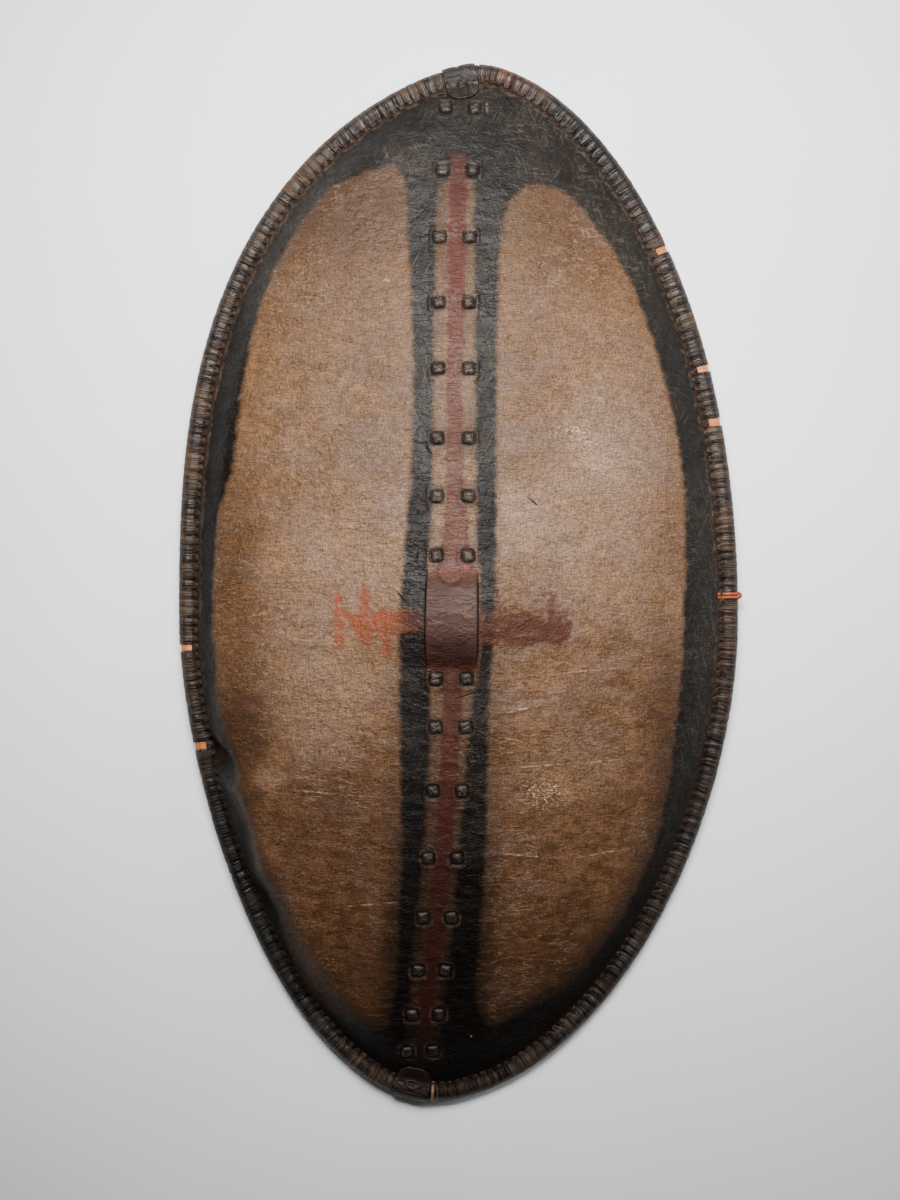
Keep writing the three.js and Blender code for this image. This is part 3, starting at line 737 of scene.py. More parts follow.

    # The boss: dusty and partly painted sheen above, darker red below as painted shade, black painted shade
    # along the crease at its sides, and a rounded tab over its top with a painted shadow under it.
    boss = edge_mask(tree, "boss", 0.0, 1.0)
    shaded_lower_boss = spot(tree, place, (-7, -84), (36, 48), core=0.4)
    tab_shadow = spot(tree, place, (-8, 9), (15, 17), core=0.75)
    tab = spot(tree, place, (-8, 12), (13.5, 14.5), core=0.85)
    face = layered(tree, face, [
        (colours.boss, boss, 0.88),
        # A greyish touch on the boss's upper half, partly painted sheen.
        (colours.skin_grey, spot(tree, place, (0, -26), (26, 34)), blotches, 0.12),
        (colours.skin_dark, spot(tree, place, (6, -30), (26, 34)), blotches, 0.4),
        # Painted shade on the boss's lower half, and a painted shadow under the tab.
        (colours.maroon_dark, shaded_lower_boss, 0.42),
        (colours.maroon_dark, shaded_lower_boss, blotches, 0.5),
        (colours.maroon_dark, tab_shadow, 0.6),
        (colours.tab, tab, 0.65),
        (colours.orange, spot(tree, place, (6, 14), (6, 8)), rub, 0.7),
        # Black along the crease at the boss's sides, painted shade.
        (colours.black, edge_mask(tree, "crease", 1.7, 0.4), 0.8),
        # Round each knob: a darker zone, a paler lip low on the face, and black close round its foot as
        # painted shade in its pocket.
        (colours.grain_dark, edge_mask(tree, "knob", 13.5, 10.0), 0.3),
        (colours.edge_wear, edge_mask(tree, "knob", 10.6, 9.4), rub, low, 0.3),
        (colours.black, edge_mask(tree, "knob", 8.4, 7.0), 0.85),
    ])

    # Wear along the stitched edge and painted shade where the hide meets the lacing, the grain over all the
    # paint, cracks and scratches.
    worn_edge = edge_mask(tree, "edge", 17.5, 14.0, blotches, 1.5)
    left_side = spot(tree, place, (-300, 200), (260, 420))
    face = layered(tree, face, [
        (colours.edge_wear, worn_edge, left_side, 0.2),
        (colours.edge_wear, worn_edge, rub, high, 0.4),
        # A dark band where the hide meets the lacing, painted shade.
        (colours.grain_dark, edge_mask(tree, "edge", 14.5, 12.0), 0.8),
        (colours.grain_dark, grain, 0.16),
        (colours.grain_dark, crinkles, blotches, low, 0.25),
    ])
    cracks = None
    for middle, size, angle in CRACKS:
        crack = spot(tree, place, middle, size, angle)
        face = layered(tree, face, [(colours.black, crack, 0.95)])
        cracks = crack if cracks is None else add_node(
            tree, "ShaderNodeMath", {0: cracks, 1: crack}, operation="ADD").outputs[0]
    face = layered(tree, face, [
        (colours.scratch, spot(tree, place, middle, size, angle), rub, share)
        for middle, size, angle, share in PALE_SCRATCHES])

    # The gloss is duller towards the foot and on the left flank.
    normal = bumps(tree, [(crinkles, 0.3), (grain, 0.14), (blotches, 0.6), (cracks, -0.8)])
    flank = spot(tree, place, (-262, 20), (110, 480))
    levels = [
        add_node(tree, "ShaderNodeMapRange", {"Value": mask, "To Min": full, "To Max": dull}).outputs[0]
        for mask, full, dull in ((low, 0.19, 0.1), (flank, 1.0, 0.4))]
    gloss = add_node(tree, "ShaderNodeMath", {0: levels[0], 1: levels[1]}, operation="MULTIPLY").outputs[0]
    finish_surface(tree, output, face, (patches, 0.46, 0.6), normal, IOR=1.5, Specular_IOR_Level=gloss)
    return material


def back_material(colours):
    """The inner side of the rawhide: scraped with a blade and left unpainted, dry and matt."""
    material, tree, output, place = new_material("scraped_rawhide_back")
    clouds = pattern(tree, place, (110, 140, 110), 0.36, 0.64, 4.0, shift=2.9)
    scraping = pattern(tree, place, (45, 4, 30), 0.4, 0.66, 4.0, shift=6.1)
    grain = pattern(tree, place, (1.8, 1.8, 1.8), 0.4, 0.7, 2.0, shift=3.3)
    stains = pattern(tree, place, (40, 40, 40), 0.54, 0.74, 5.0, shift=8.5)
    colour = layered(tree, colours.back, [
        (colours.skin_brown, clouds, 0.6), (colours.skin_pale, scraping, 0.3),
        (colours.skin_brown, stains, 0.7), (colours.skin_dark, grain, 0.35),
    ])
    normal = bumps(tree, [(scraping, 0.35), (grain, 0.2)])
    finish_surface(tree, output, colour, (grain, 0.66, 0.82), normal, IOR=1.5)
    return material


def leather_material(name, colours, base, light, pleat, depth, rough=(0.4, 0.58), bare=False):
    """Greased leather strap, pulled tight while wet: dark, with pleats across it and a dull gloss.

    pleat is the pleats' spacing and length in millimetres, along the rim and round the roll, and
    depth their depth, which is full only towards the foot. The worn crests are paler and rusty.
    rough is the roughness at its least and its most. bare adds the smooth tan roll where a turn is
    missing.
    """
    material, tree, output, place = new_material(name)
    run = add_node(tree, "ShaderNodeAttribute", attribute_name="run").outputs["Fac"]
    wrap = add_node(tree, "ShaderNodeAttribute", attribute_name="wrap").outputs["Fac"]
    where = add_node(tree, "ShaderNodeCombineXYZ", {"X": run, "Y": wrap}).outputs[0]
    where = add_node(tree, "ShaderNodeVectorMath", {0: where, "Scale": MM}, operation="SCALE").outputs[0]
    low = ramp_along(tree, place, 60.0, -260.0)
    pleats = pattern(tree, where, (pleat[0], pleat[1], 1000), 0.4, 0.6, 1.0)
    lines = pattern(tree, where, (pleat[0] * 1.6, pleat[1], 1000), 0.03, 0.0, 1.0, shift=4.4, creases=True)
    grain = pattern(tree, place, (1.6, 1.6, 1.6), 0.4, 0.66, 2.0)
    clouds = pattern(tree, place, (30, 30, 30), 0.44, 0.64, 3.0, shift=5.2)
    rust = pattern(tree, place, (12, 12, 12), 0.54, 0.68, 4.0, shift=7.4)
    colour = layered(tree, base, [
        (light, clouds, 0.35),
        (light, pleats, 0.25),
        (light, pleats, low, 0.25),
        (colours.leather_rust, rust, 0.4),
        (colours.leather_rust, spot(tree, place, (78, 532), (60, 30)), 0.35),
        (colours.core_dark, spot(tree, place, (60, 536), (30, 16)), rust, 0.2),
        # The rim painted darker in four places, partly grease and partly painted shade; the darkest, at the
        # lower left, is painted shade where the bulge shades the rim.
        (colours.black, spot(tree, place, (-210, -330), (130, 270), core=0.5), 0.85),
        (colours.black, spot(tree, place, (190, -300), (150, 290), core=0.5), 0.6),
        (colours.black, spot(tree, place, (60, -540), (190, 90), core=0.5), 0.5),
        (colours.black, spot(tree, place, (150, 450), (150, 140)), 0.7),
        (colours.black, lines, 0.7),
    ])
    relief = add_node(tree, "ShaderNodeMapRange", {
        "Value": low, "To Min": 0.35, "To Max": 1.0}).outputs["Result"]
    folds = add_node(tree, "ShaderNodeMath", {0: pleats, 1: relief}, operation="MULTIPLY").outputs[0]
    normal = bumps(tree, [(folds, depth), (lines, -0.4), (grain, 0.1)])
    if bare:
        shows = add_node(tree, "ShaderNodeAttribute", attribute_name="bare").outputs["Fac"]
        smooth_core = layered(tree, colours.core, [(colours.core_dark, clouds, 0.6)])
        colour = layered(tree, colour, [(smooth_core, shows)])
    finish_surface(tree, output, colour, (clouds, *rough), normal, IOR=1.5, Specular_IOR_Level=0.32)
    return material


def knob_material(colours):
    """Thong ends of rolled rawhide, greased dark and polished where hands and storage rub them."""
    material, tree, output, place = new_material("rolled_thong_leather")
    grain = pattern(tree, place, (1.2, 1.2, 1.2), 0.4, 0.66, 3.0)
    clouds = pattern(tree, place, (8, 8, 8), 0.42, 0.66, 3.0, shift=3.7)
    tones = pattern(tree, place, (60, 60, 60), 0.4, 0.6, 3.0, shift=1.9)
    colour = layered(tree, colours.thong, [
        (colours.thong_light, clouds, 0.6),
        (colours.thong_light, grain, tones, 0.6),
        (colours.black, ramp_along(tree, place, -60.0, -380.0), 0.5),
    ])
    normal = bumps(tree, [(clouds, 0.4), (grain, 0.12)])
    finish_surface(tree, output, colour, (grain, 0.36, 0.54), normal, IOR=1.5, Specular_IOR_Level=0.26)
    return material


def tie_material(name, base, dark):
    """Vegetable-tanned thong, newer than the rest and hardly greased, so still orange to tan."""
    material, tree, output, place = new_material(name)
    fibres = pattern(tree, place, (1.1, 1.1, 1.1), 0.4, 0.68, 3.0)
    clouds = pattern(tree, place, (7, 7, 7), 0.42, 0.66, 3.0, shift=2.4)
    colour = layered(tree, base, [(dark, clouds, 0.7), (dark, fibres, 0.35)])
    finish_surface(tree, output, colour, (fibres, 0.5, 0.7), bumps(tree, [(fibres, 0.25)]), IOR=1.5)
    return material


def wood_material(colours):
    """A batten of hardwood split along its grain, shaved with a knife, and oiled by handling."""
    material, tree, output, place = new_material("shaved_hardwood")
    rings = pattern(tree, place, (5, 240, 5), 0.36, 0.64, 4.0)
    fibres = pattern(tree, place, (0.9, 26, 0.9), 0.38, 0.66, 3.0, shift=4.3)
    facets = pattern(tree, place, (9, 38, 9), 0.4, 0.62, 1.0, shift=7.9)
    grip = spot(tree, place, (-8, BOSS_Y), (60, 75))
    colour = layered(tree, colours.wood, [
        (colours.wood_dark, mask, share) for mask, share in ((rings, 0.8), (fibres, 0.5), (grip, 0.55))])
    normal = bumps(tree, [(facets, 0.5), (fibres, 0.16)])
    finish_surface(tree, output, colour, (grip, 0.62, 0.38), normal, IOR=1.5)
    return material


def floor_material(colours):
    """A pale matt wall paint, brushed out so that only a faint unevenness is left."""
    material, tree, output, place = new_material("matt_pale_floor")
    clouds = pattern(tree, place, (400, 400, 400), 0.3, 0.7, 2.0)
    stipple = pattern(tree, place, (3, 3, 3), 0.3, 0.7, 2.0)
    shade = tuple(channel * 0.96 for channel in colours.floor)
    colour = layered(tree, colours.floor, [(shade, clouds)])
    finish_surface(tree, output, colour, 0.85, bumps(tree, [(stipple, 0.05)]))
    return material


# Paint lines on the face.
def rounded(outline):
    """A closed outline with its corners cut twice."""
    corners = np.array(outline, float)
    for _ in range(2):
        after = np.roll(corners, -1, axis=0)
        cuts = [corners * 0.75 + after * 0.25, corners * 0.25 + after * 0.75]
        corners = np.stack(cuts, axis=1).reshape(-1, 2)
    return corners


def inside_by(x, y, outline):
    """Distance to a closed outline in millimetres, positive inside it."""
    nearest = np.full(x.shape, FAR)
    inside = np.zeros(x.shape, bool)
    for (ax, ay), (bx, by) in zip(outline, np.roll(outline, -1, axis=0)):
        ex, ey = bx - ax, by - ay
        share = np.clip(((x - ax) * ex + (y - ay) * ey) / (ex * ex + ey * ey), 0.0, 1.0)
        nearest = np.minimum(nearest, np.hypot(x - ax - share * ex, y - ay - share * ey))
        if ay != by:
            inside ^= ((ay > y) != (by > y)) & (x < ax + ex * (y - ay) / ey)
    return np.where(inside, nearest, -nearest)


# The boss's paint fades over these shares of half its length, and this far from its middle line.
BOSS_FADE_ALONG = (0.6, 1.1)
BOSS_FADE_ACROSS = (25.0, 28.0)
# The crease at the boss's side lies this far out from half its width, and ends towards the boss's ends.
CREASE_OUT = 0.4
CREASE_END = (0.72, 1.0)
CREASE_END_AWAY = 12.0
RIM_POINT_STEP = 60


def paint_distances(x, y):
    """How far each paint edge, knob, edge of the hide and crease is, for the face's material.

    All are in millimetres but boss, which is a mask from 0 to 1.
    """
    strip = inside_by(x, y, rounded(MIDDLE_STRIP))
    field = np.maximum(inside_by(x, y, rounded(LEFT_FIELD)), inside_by(x, y, rounded(RIGHT_FIELD)))
    line = [(left, level) for level, left, _ in RED_LINE]
    line += [(right, level) for level, _, right in reversed(RED_LINE)]
    bars = np.max([inside_by(x, y, np.array(bar, float)) for bar in RED_BARS], axis=0)
    knob = np.min([((x - kx) ** 4 + (y - ky) ** 4) ** 0.25 for kx, ky in KNOBS], axis=0)
    rim = np.min([np.hypot(x - rx, y - ry) for rx, ry in RIM_POINTS[::RIM_POINT_STEP]], axis=0)
    rim = np.minimum(rim, np.minimum(x - side_x(y, -1), side_x(y, 1) - x))
    along = np.abs(y - BOSS_Y) / (BOSS_LENGTH / 2)
    across = np.abs(x - stave_x(y))
    on_boss = (1.0 - smooth_step(along, *BOSS_FADE_ALONG)) * (1.0 - smooth_step(across, *BOSS_FADE_ACROSS))
    crease = np.abs(across - BOSS_WIDTH / 2 - CREASE_OUT) + CREASE_END_AWAY * smooth_step(along, *CREASE_END)
    return {
        "field": np.maximum(field, strip), "strip": strip, "red": inside_by(x, y, np.array(line, float)),
        "bars": bars, "knob": knob, "edge": rim, "boss": on_boss, "crease": crease,
    }


# The hide. Its mesh ends just inside the outline, and has a band of close columns over the stave, which
# lie closest at the boss's sides.
HIDE_ROWS = 430
HIDE_SIDE_COLUMNS = 52
HIDE_LENGTH_SHARE = 0.9985
HIDE_WIDTH_SHARE = 0.999
ROW_EVENNESS = 0.75
COLUMN_EASE = 0.3
BAND = 46.0
HALF_BAND = np.concatenate([
    np.linspace(0.0, 22.0, 12), [23.1, 24.0, 24.7, 25.4, 26.0, 26.6, 27.4], np.linspace(29.0, BAND, 9)])
# How much of the face's relief shows on the back.
BACK_RELIEF = 0.8


def hide_grid():
    """Places on the hide, row by row from foot to top. The columns at the middle follow the stave."""
    share = np.linspace(-1.0, 1.0, HIDE_ROWS + 1)
    share = ROW_EVENNESS * share + (1.0 - ROW_EVENNESS) * np.sin(math.pi * share / 2)
    level = level_at(HIDE_LENGTH_SHARE * share)
    middle = (side_x(level, -1) + side_x(level, 1)) / 2
    half = (side_x(level, 1) - side_x(level, -1)) / 2 * HIDE_WIDTH_SHARE
    centre = np.clip(stave_x(level), middle - 0.4 * half, middle + 0.4 * half)
    offsets = np.concatenate([-HALF_BAND[:0:-1], HALF_BAND])
    band = centre[:, None] + offsets * np.minimum(1.0, half / (2 * BAND))[:, None]
    ease = np.arange(1, HIDE_SIDE_COLUMNS + 1) / HIDE_SIDE_COLUMNS
    ease = (1.0 + COLUMN_EASE) * ease - COLUMN_EASE * ease**2
    left = band[:, :1] + (middle - half - band[:, 0])[:, None] * ease
    right = band[:, -1:] + (middle + half - band[:, -1])[:, None] * ease
    x = np.concatenate([left[:, ::-1], band, right], axis=1)
    return x, np.broadcast_to(level[:, None], x.shape)


def border(rows, columns):
    """Corner numbers round a grid, anticlockwise from the lower left."""
    grid = np.arange(rows * columns).reshape(rows, columns)
    return np.concatenate([grid[0, :-1], grid[:-1, -1], grid[-1, :0:-1], grid[:0:-1, 0]])


def grid_faces(rows, columns):
    """The quads of a grid of corners."""
    grid = np.arange(rows * columns).reshape(rows, columns)
    quads = np.stack([grid[:-1, :-1], grid[:-1, 1:], grid[1:, 1:], grid[1:, :-1]], axis=-1)
    return quads.reshape(-1, 4)


def hide_shell(relief_share):
    """The painted face, the back at half the density, and the edge between them."""
    x, y = hide_grid()
    relief = face_relief(x, y) * relief_share
    normal = hide_normal(x, y)
    base = np.stack([x, y, hide_z(x, y)], axis=-1)
    face = base + normal * (boss_rise(x, y, 0.0) + relief)[..., None]
    hollow = boss_rise(x, y, HIDE_T)
    back = (base + normal * (BACK_RELIEF * relief + hollow - HIDE_T)[..., None])[::2, ::2]
    rows, columns = x.shape
    back_rows, back_columns = back.shape[:2]
    points = np.concatenate([face.reshape(-1, 3), back.reshape(-1, 3)])
    start = rows * columns
    front_faces = grid_faces(rows, columns).tolist()
    back_faces = (grid_faces(back_rows, back_columns)[:, ::-1] + start).tolist()
    outer, inner = border(rows, columns), border(back_rows, back_columns) + start
    for i in range(len(inner)):
        first, mid, last = outer[2 * i], outer[2 * i + 1], outer[(2 * i + 2) % len(outer)]
        low, high = inner[i], inner[(i + 1) % len(inner)]
        back_faces.extend([(mid, first, low), (mid, low, high), (last, mid, high)])
    marks = paint_distances(x, y)
    none = np.zeros(back_rows * back_columns)
    marks = {name: np.concatenate([values.ravel(), none]) for name, values in marks.items()}
    return points, front_faces, back_faces, marks


# The rim.
def run_near(place):
    """How far round the rim, in millimetres, its point nearest a place lies."""
    return float(RIM_RUN[int(np.argmin(np.linalg.norm(RIM_POINTS - place, axis=1)))])


def run_apart(runs, run):
    """Distance along the rim, the shorter way round."""
    apart = np.abs(np.asarray(runs) - run)
    return np.minimum(apart, RIM_RUN[-1] - apart)


GAP_RUNS = [run_near(place) for place in RIM_GAPS]


def rim_section(turn, grow):
    """How far outwards and upwards the roll's section reaches at angles round it, grown by grow."""
    outwards = np.cos(turn)
    slim = 1.0 - RIM_INNER_SLIM * np.maximum(0.0, -outwards) ** 2
    reach = np.where(outwards > 0, RIM_OUT, RIM_IN) + grow
    return outwards * reach, np.sin(turn) * (RIM_HEIGHT / 2 + grow) * slim


def rim_space(turn, out, up):
    """Points round the rim from how far outwards and upwards of its middle line they are."""
    at, outward, _ = rim_frame(turn)
    flat = at[..., None, :] + outward[..., None, :] * np.asarray(out)[..., None]
    height = rim_z(at[..., 0], at[..., 1])[..., None] + np.asarray(up)
    return np.concatenate([flat, np.broadcast_to(height, flat.shape[:-1])[..., None]], axis=-1)


def rim_core(thickness):
    """The roll under the lacing."""
    stations, facets = 420, 16
    runs = np.arange(stations) * RIM_RUN[-1] / stations
    turn = np.interp(runs, RIM_RUN, TURNS)
    around = round_angles(facets)
    out, up = rim_section(around, -thickness)
    points, faces = loft(rim_space(turn, out, up), loop=True)
    bare = np.min([run_apart(runs, gap) for gap in GAP_RUNS], axis=0) < RIM_GAP_HALF
    not_inside = np.cos(around) > -0.5
    marks = {
        "run": np.repeat(runs, facets),
        "wrap": np.tile(around * RIM_HEIGHT / 2, stations),
        "bare": (bare[:, None] & not_inside).ravel(),
    }
    return points, faces, marks


# A turn of the lacing, as stations: outwards, upwards, share of its width, drape, angle of its outer
# side. drape is -1 where it is tucked up under the hide, 0 where it keeps its place, 0.5 where it
# lies on the hide if that is higher, and 1 where it lies on the hide.
TURN_START = (-11.4, 0.0, 0.42, -1.0, 0.0)
TURN_ANGLES = (-158, -128, -96, -64, -32, 0, 32, 62, 88, 112)
TURN_DRAPED_FROM = 80
TURN_END = ((-7.2, 6.6, 0.78, 0.5, 2.0), (-9.8, 6.0, 0.52, 1.0, 2.0), (-12.0, 5.0, 0.3, 1.0, 2.0))
STUB_STATIONS = 4
TUCKED_LIFT = -1.3
# There are this many kinds of turn, of which the last is a stub. Each is wider than the pitch by this
# factor, so that they overlap, and is tilted at random by up to this many degrees.
TURN_KINDS = 5
TURN_OVERLAP = 1.3
TURN_UNEVENNESS = 3.5
TURN_SKEW = 1.4
TURN_RIDGE = 0.3
# Each turn strays this far from its even place, and its width and height vary between these shares.
TURN_STRAY = 0.7
TURN_WIDTHS = (0.9, 1.12)
TURN_HEIGHTS = (0.97, 1.03)
# Turns this near a gap, as a share of the pitch, are missing, and others run this far under a wrap.
GAP_SHARE = 0.52
UNDER_WRAP = 3.0


def lacing_turn(random, width, thickness, stub):
    """One turn of the lacing, round a roll whose middle is the origin: X outwards, Y along, Z up.

    Its first station is tucked up under the hide and its last one goes down into a stitch hole.
    A stub has only the part on the face, where the rest of the turn is missing.
    """
    stations = [TURN_START]
    for degrees in TURN_ANGLES:
        out, up = rim_section(np.array(math.radians(degrees)), -thickness)
        drape = 0.5 if degrees > TURN_DRAPED_FROM else 0.0
        stations.append((float(out), float(up), 1.0, drape, math.radians(degrees)))
    stations.extend(TURN_END)
    if stub:
        stations = stations[-STUB_STATIONS:]
    skew = random.uniform(-TURN_SKEW, TURN_SKEW)
    ridge = random.uniform(-TURN_RIDGE, TURN_RIDGE)
    rings, marks = [], {"drape": [], "lift": [], "wrap": [], "across": []}
    length = 0.0
    for number, (out, up, share, drape, angle) in enumerate(stations):
        if number:
            length += math.hypot(out - stations[number - 1][0], up - stations[number - 1][1])
        half = width / 2 * share * random.uniform(0.95, 1.05)
        shift = skew * (number / len(stations) - 0.5) * share
        profile = [(-half, -0.6), (-half * 0.86, thickness * 0.78), (ridge * half, thickness),
                   (half * 0.92, thickness * 0.9), (half, 0.2)]
        tucked = number in (0, len(stations) - 1)
        ring = []
        for along, height in profile:
            ring.append((out + math.cos(angle) * height, along + shift, up + math.sin(angle) * height))
            marks["drape"].append(drape)
            marks["lift"].append(TUCKED_LIFT if tucked else height - 0.3)
            marks["wrap"].append(length)
            marks["across"].append(along / share)
        rings.append(ring)
    points, faces = loft(rings)
    return points, faces, marks


def lacing_points(pitch):
    """One point for each turn, with its directions and the kind of turn that goes there."""
    random = np.random.default_rng(23)
    count = int(round(RIM_RUN[-1] / pitch))
    runs = (np.arange(count) + 0.5) * RIM_RUN[-1] / count
    runs = runs + random.uniform(-TURN_STRAY, TURN_STRAY, count)
    kind = random.integers(0, TURN_KINDS - 1, count)
    missing = np.min([run_apart(runs, gap) for gap in GAP_RUNS], axis=0) < pitch * GAP_SHARE
    kind[missing] = TURN_KINDS - 1
    shown = np.ones(count, bool)
    for end in WRAPS:
        shown &= run_apart(runs, run_near(WRAP_PLACE[end])) > WRAPS[end]["width"] / 2 - UNDER_WRAP
    runs, kind = runs[shown], kind[shown]
    at, outward, along = rim_frame(np.interp(runs, RIM_RUN, TURNS))
    flat, whole = np.zeros(len(runs)), np.ones(len(runs))
    widths = random.uniform(*TURN_WIDTHS, len(runs))
    heights = random.uniform(*TURN_HEIGHTS, len(runs))
    return {
        "points": np.column_stack([at, rim_z(at[:, 0], at[:, 1])]),
        "outward": np.column_stack([outward, flat]),
        "along": np.column_stack([along, flat]),
        "size": np.column_stack([whole, widths, heights]),
        "kind": kind,
        "run": runs,
    }


def lacing_tree():
    """Sets a turn of lacing on each point, drapes its ends on the hide, and makes one mesh of it all."""
    tree = bpy.data.node_groups.new("lacing_round_the_rim", "GeometryNodeTree")
    for name, kind in (("Points", "Geometry"), ("Turns", "Collection"), ("Hide", "Object"),
                       ("Unevenness", "Float"), ("Seed", "Int"), ("Leather", "Material")):
        tree.interface.new_socket(name=name, in_out="INPUT", socket_type=f"NodeSocket{kind}")
    tree.interface.new_socket(name="Lacing", in_out="OUTPUT", socket_type="NodeSocketGeometry")
    given = add_node(tree, "NodeGroupInput").outputs
    kept = {}
    for kind, names in (("FLOAT_VECTOR", ("outward", "along", "size")), ("INT", ("kind",)),
                        ("FLOAT", ("run", "across", "drape", "lift"))):
        for name in names:
            named = add_node(tree, "GeometryNodeInputNamedAttribute", {"Name": name}, data_type=kind)
            kept[name] = named.outputs[0]
    turns = add_node(tree, "GeometryNodeCollectionInfo",
                     {"Collection": given["Turns"], "Separate Children": True, "Reset Children": True})
    facing = add_node(tree, "FunctionNodeAxesToRotation", {0: kept["outward"], 1: kept["along"]},
                      primary_axis="X", secondary_axis="Y")
    amount = add_node(tree, "ShaderNodeCombineXYZ", dict.fromkeys("XYZ", given["Unevenness"])).outputs[0]
    least = add_node(tree, "ShaderNodeVectorMath", {0: amount, "Scale": -1.0}, operation="SCALE").outputs[0]
    tilt = add_node(tree, "FunctionNodeRandomValue", {0: least, 1: amount, "Seed": given["Seed"]},
                    data_type="FLOAT_VECTOR").outputs[0]
    tilt = add_node(tree, "FunctionNodeEulerToRotation", {0: tilt}).outputs[0]
    turned = add_node(tree, "FunctionNodeRotateRotation", {0: facing.outputs[0], 1: tilt},
                      rotation_space="LOCAL").outputs[0]
    placed = add_node(tree, "GeometryNodeInstanceOnPoints", {
        "Points": given["Points"], "Instance": turns.outputs[0], "Pick Instance": True,
        "Instance Index": kept["kind"], "Rotation": turned, "Scale": kept["size"]})
    whole = add_node(tree, "GeometryNodeRealizeInstances", {"Geometry": placed.outputs[0]}).outputs[0]

    # The ends on the face, found from above, and then the tucked ones, found from below, follow the
    # hide. A station on the face does so if its drape says always, or if the hide is higher there.
    hide = add_node(tree, "GeometryNodeObjectInfo", {"Object": given["Hide"]}).outputs["Geometry"]
    lift = add_node(tree, "ShaderNodeMath", {0: kept["lift"], 1: MM}, operation="MULTIPLY").outputs[0]
    tucked_below, draped_over, always_over = -0.5, 0.25, 0.75
    for away in (0.06, -0.05):
        place = add_node(tree, "GeometryNodeInputPosition").outputs[0]
        start = add_node(tree, "ShaderNodeVectorMath", {0: place, 1: (0.0, 0.0, away)}).outputs[0]
        ray = add_node(tree, "GeometryNodeRaycast", {
            "Target Geometry": hide, "Source Position": start,
            "Ray Direction": (0.0, 0.0, -math.copysign(1.0, away)), "Ray Length": 0.2}).outputs
        raised = add_node(tree, "ShaderNodeVectorMath", {0: ray["Hit Normal"], "Scale": lift},
                          operation="SCALE").outputs[0]
        landed = add_node(tree, "ShaderNodeVectorMath", {0: ray["Hit Position"], 1: raised}).outputs[0]
        if away < 0:
            chosen = add_node(tree, "FunctionNodeCompare", {0: kept["drape"], 1: tucked_below},
                              operation="LESS_THAN").outputs[0]
        else:
            heights = [add_node(tree, "ShaderNodeSeparateXYZ", {0: spot_at}).outputs["Z"]
                       for spot_at in (landed, place)]
            higher, draped, always = [
                add_node(tree, "FunctionNodeCompare", {0: value, 1: limit}).outputs[0]
                for value, limit in (heights, (kept["drape"], draped_over), (kept["drape"], always_over))]
            chosen = add_node(tree, "FunctionNodeBooleanMath", {0: higher, 1: draped}).outputs[0]
            chosen = add_node(tree, "FunctionNodeBooleanMath", {0: chosen, 1: always},
                              operation="OR").outputs[0]
        chosen = add_node(tree, "FunctionNodeBooleanMath", {0: chosen, 1: ray["Is Hit"]}).outputs[0]
        whole = add_node(tree, "GeometryNodeSetPosition",
                         {"Geometry": whole, "Selection": chosen, "Position": landed}).outputs[0]
    run = add_node(tree, "ShaderNodeMath", {0: kept["run"], 1: kept["across"]}).outputs[0]
    whole = add_node(tree, "GeometryNodeStoreNamedAttribute",
                     {"Geometry": whole, "Name": "run", "Value": run},
                     data_type="FLOAT", domain="POINT").outputs[0]
    whole = add_node(tree, "GeometryNodeSetMaterial",
                     {"Geometry": whole, "Material": given["Leather"]}).outputs[0]
    add_node(tree, "NodeGroupOutput", {"Lacing": whole})
    return tree


def lace_rim(pitch, thickness, hide, leather):
    """The lacing as one plain mesh."""
    random = np.random.default_rng(41)
    shelf = bpy.data.collections.new("lacing_turns")
    for number in range(TURN_KINDS):
        stub = number == TURN_KINDS - 1
        points, faces, marks = lacing_turn(random, pitch * TURN_OVERLAP, thickness, stub)
        turn = new_piece(f"lacing_turn_{number}", points, faces, marks)
        bpy.context.scene.collection.objects.unlink(turn)
        shelf.objects.link(turn)
    spots = lacing_points(pitch)
    mesh = bpy.data.meshes.new("lacing_points")
    mesh.from_pydata((spots["points"] * MM).tolist(), [], [])
    for name in ("outward", "along", "size"):
        mesh.attributes.new(name, "FLOAT_VECTOR", "POINT").data.foreach_set("vector", spots[name].ravel())
    mesh.attributes.new("kind", "INT", "POINT").data.foreach_set("value", spots["kind"])
    mesh.attributes.new("run", "FLOAT", "POINT").data.foreach_set("value", spots["run"])
    holder = bpy.data.objects.new("lacing_points", mesh)
    bpy.context.scene.collection.objects.link(holder)
    modifier = holder.modifiers.new("lacing", "NODES")
    modifier.node_group = lacing_tree()
    values = {"Turns": shelf, "Hide": hide, "Unevenness": math.radians(TURN_UNEVENNESS), "Seed": 7,
              "Leather": leather}
    for item in modifier.node_group.interface.items_tree:
        if item.in_out == "INPUT" and item.name in values:
            modifier[item.identifier] = values[item.name]
    bpy.context.view_layer.update()
    graph = bpy.context.evaluated_depsgraph_get()
    made = bpy.data.meshes.new_from_object(holder.evaluated_get(graph), depsgraph=graph)
    made.name = "rim_lacing"
    lacing = bpy.data.objects.new("rim_lacing", made)
    bpy.context.scene.collection.objects.link(lacing)
    for spare in [holder, *shelf.objects]:
        bpy.data.objects.remove(spare, do_unlink=True)
    bpy.data.collections.remove(shelf)
    made.polygons.foreach_set("use_smooth", [True] * len(made.polygons))
    return lacing


# The stave and the thongs.
def stave_frame(y):
    """A place on the line of the stave on the hide, and the directions across, along and out."""
    x = float(stave_x(np.array(y)))
    out = hide_normal(np.array(x), np.array(y))
    across = unit(np.array([1.0, 0.0, 0.0]) - out * out[0])
    return np.array([x, y, float(hide_z(np.array(x), np.array(y)))]), across, np.cross(out, across), out


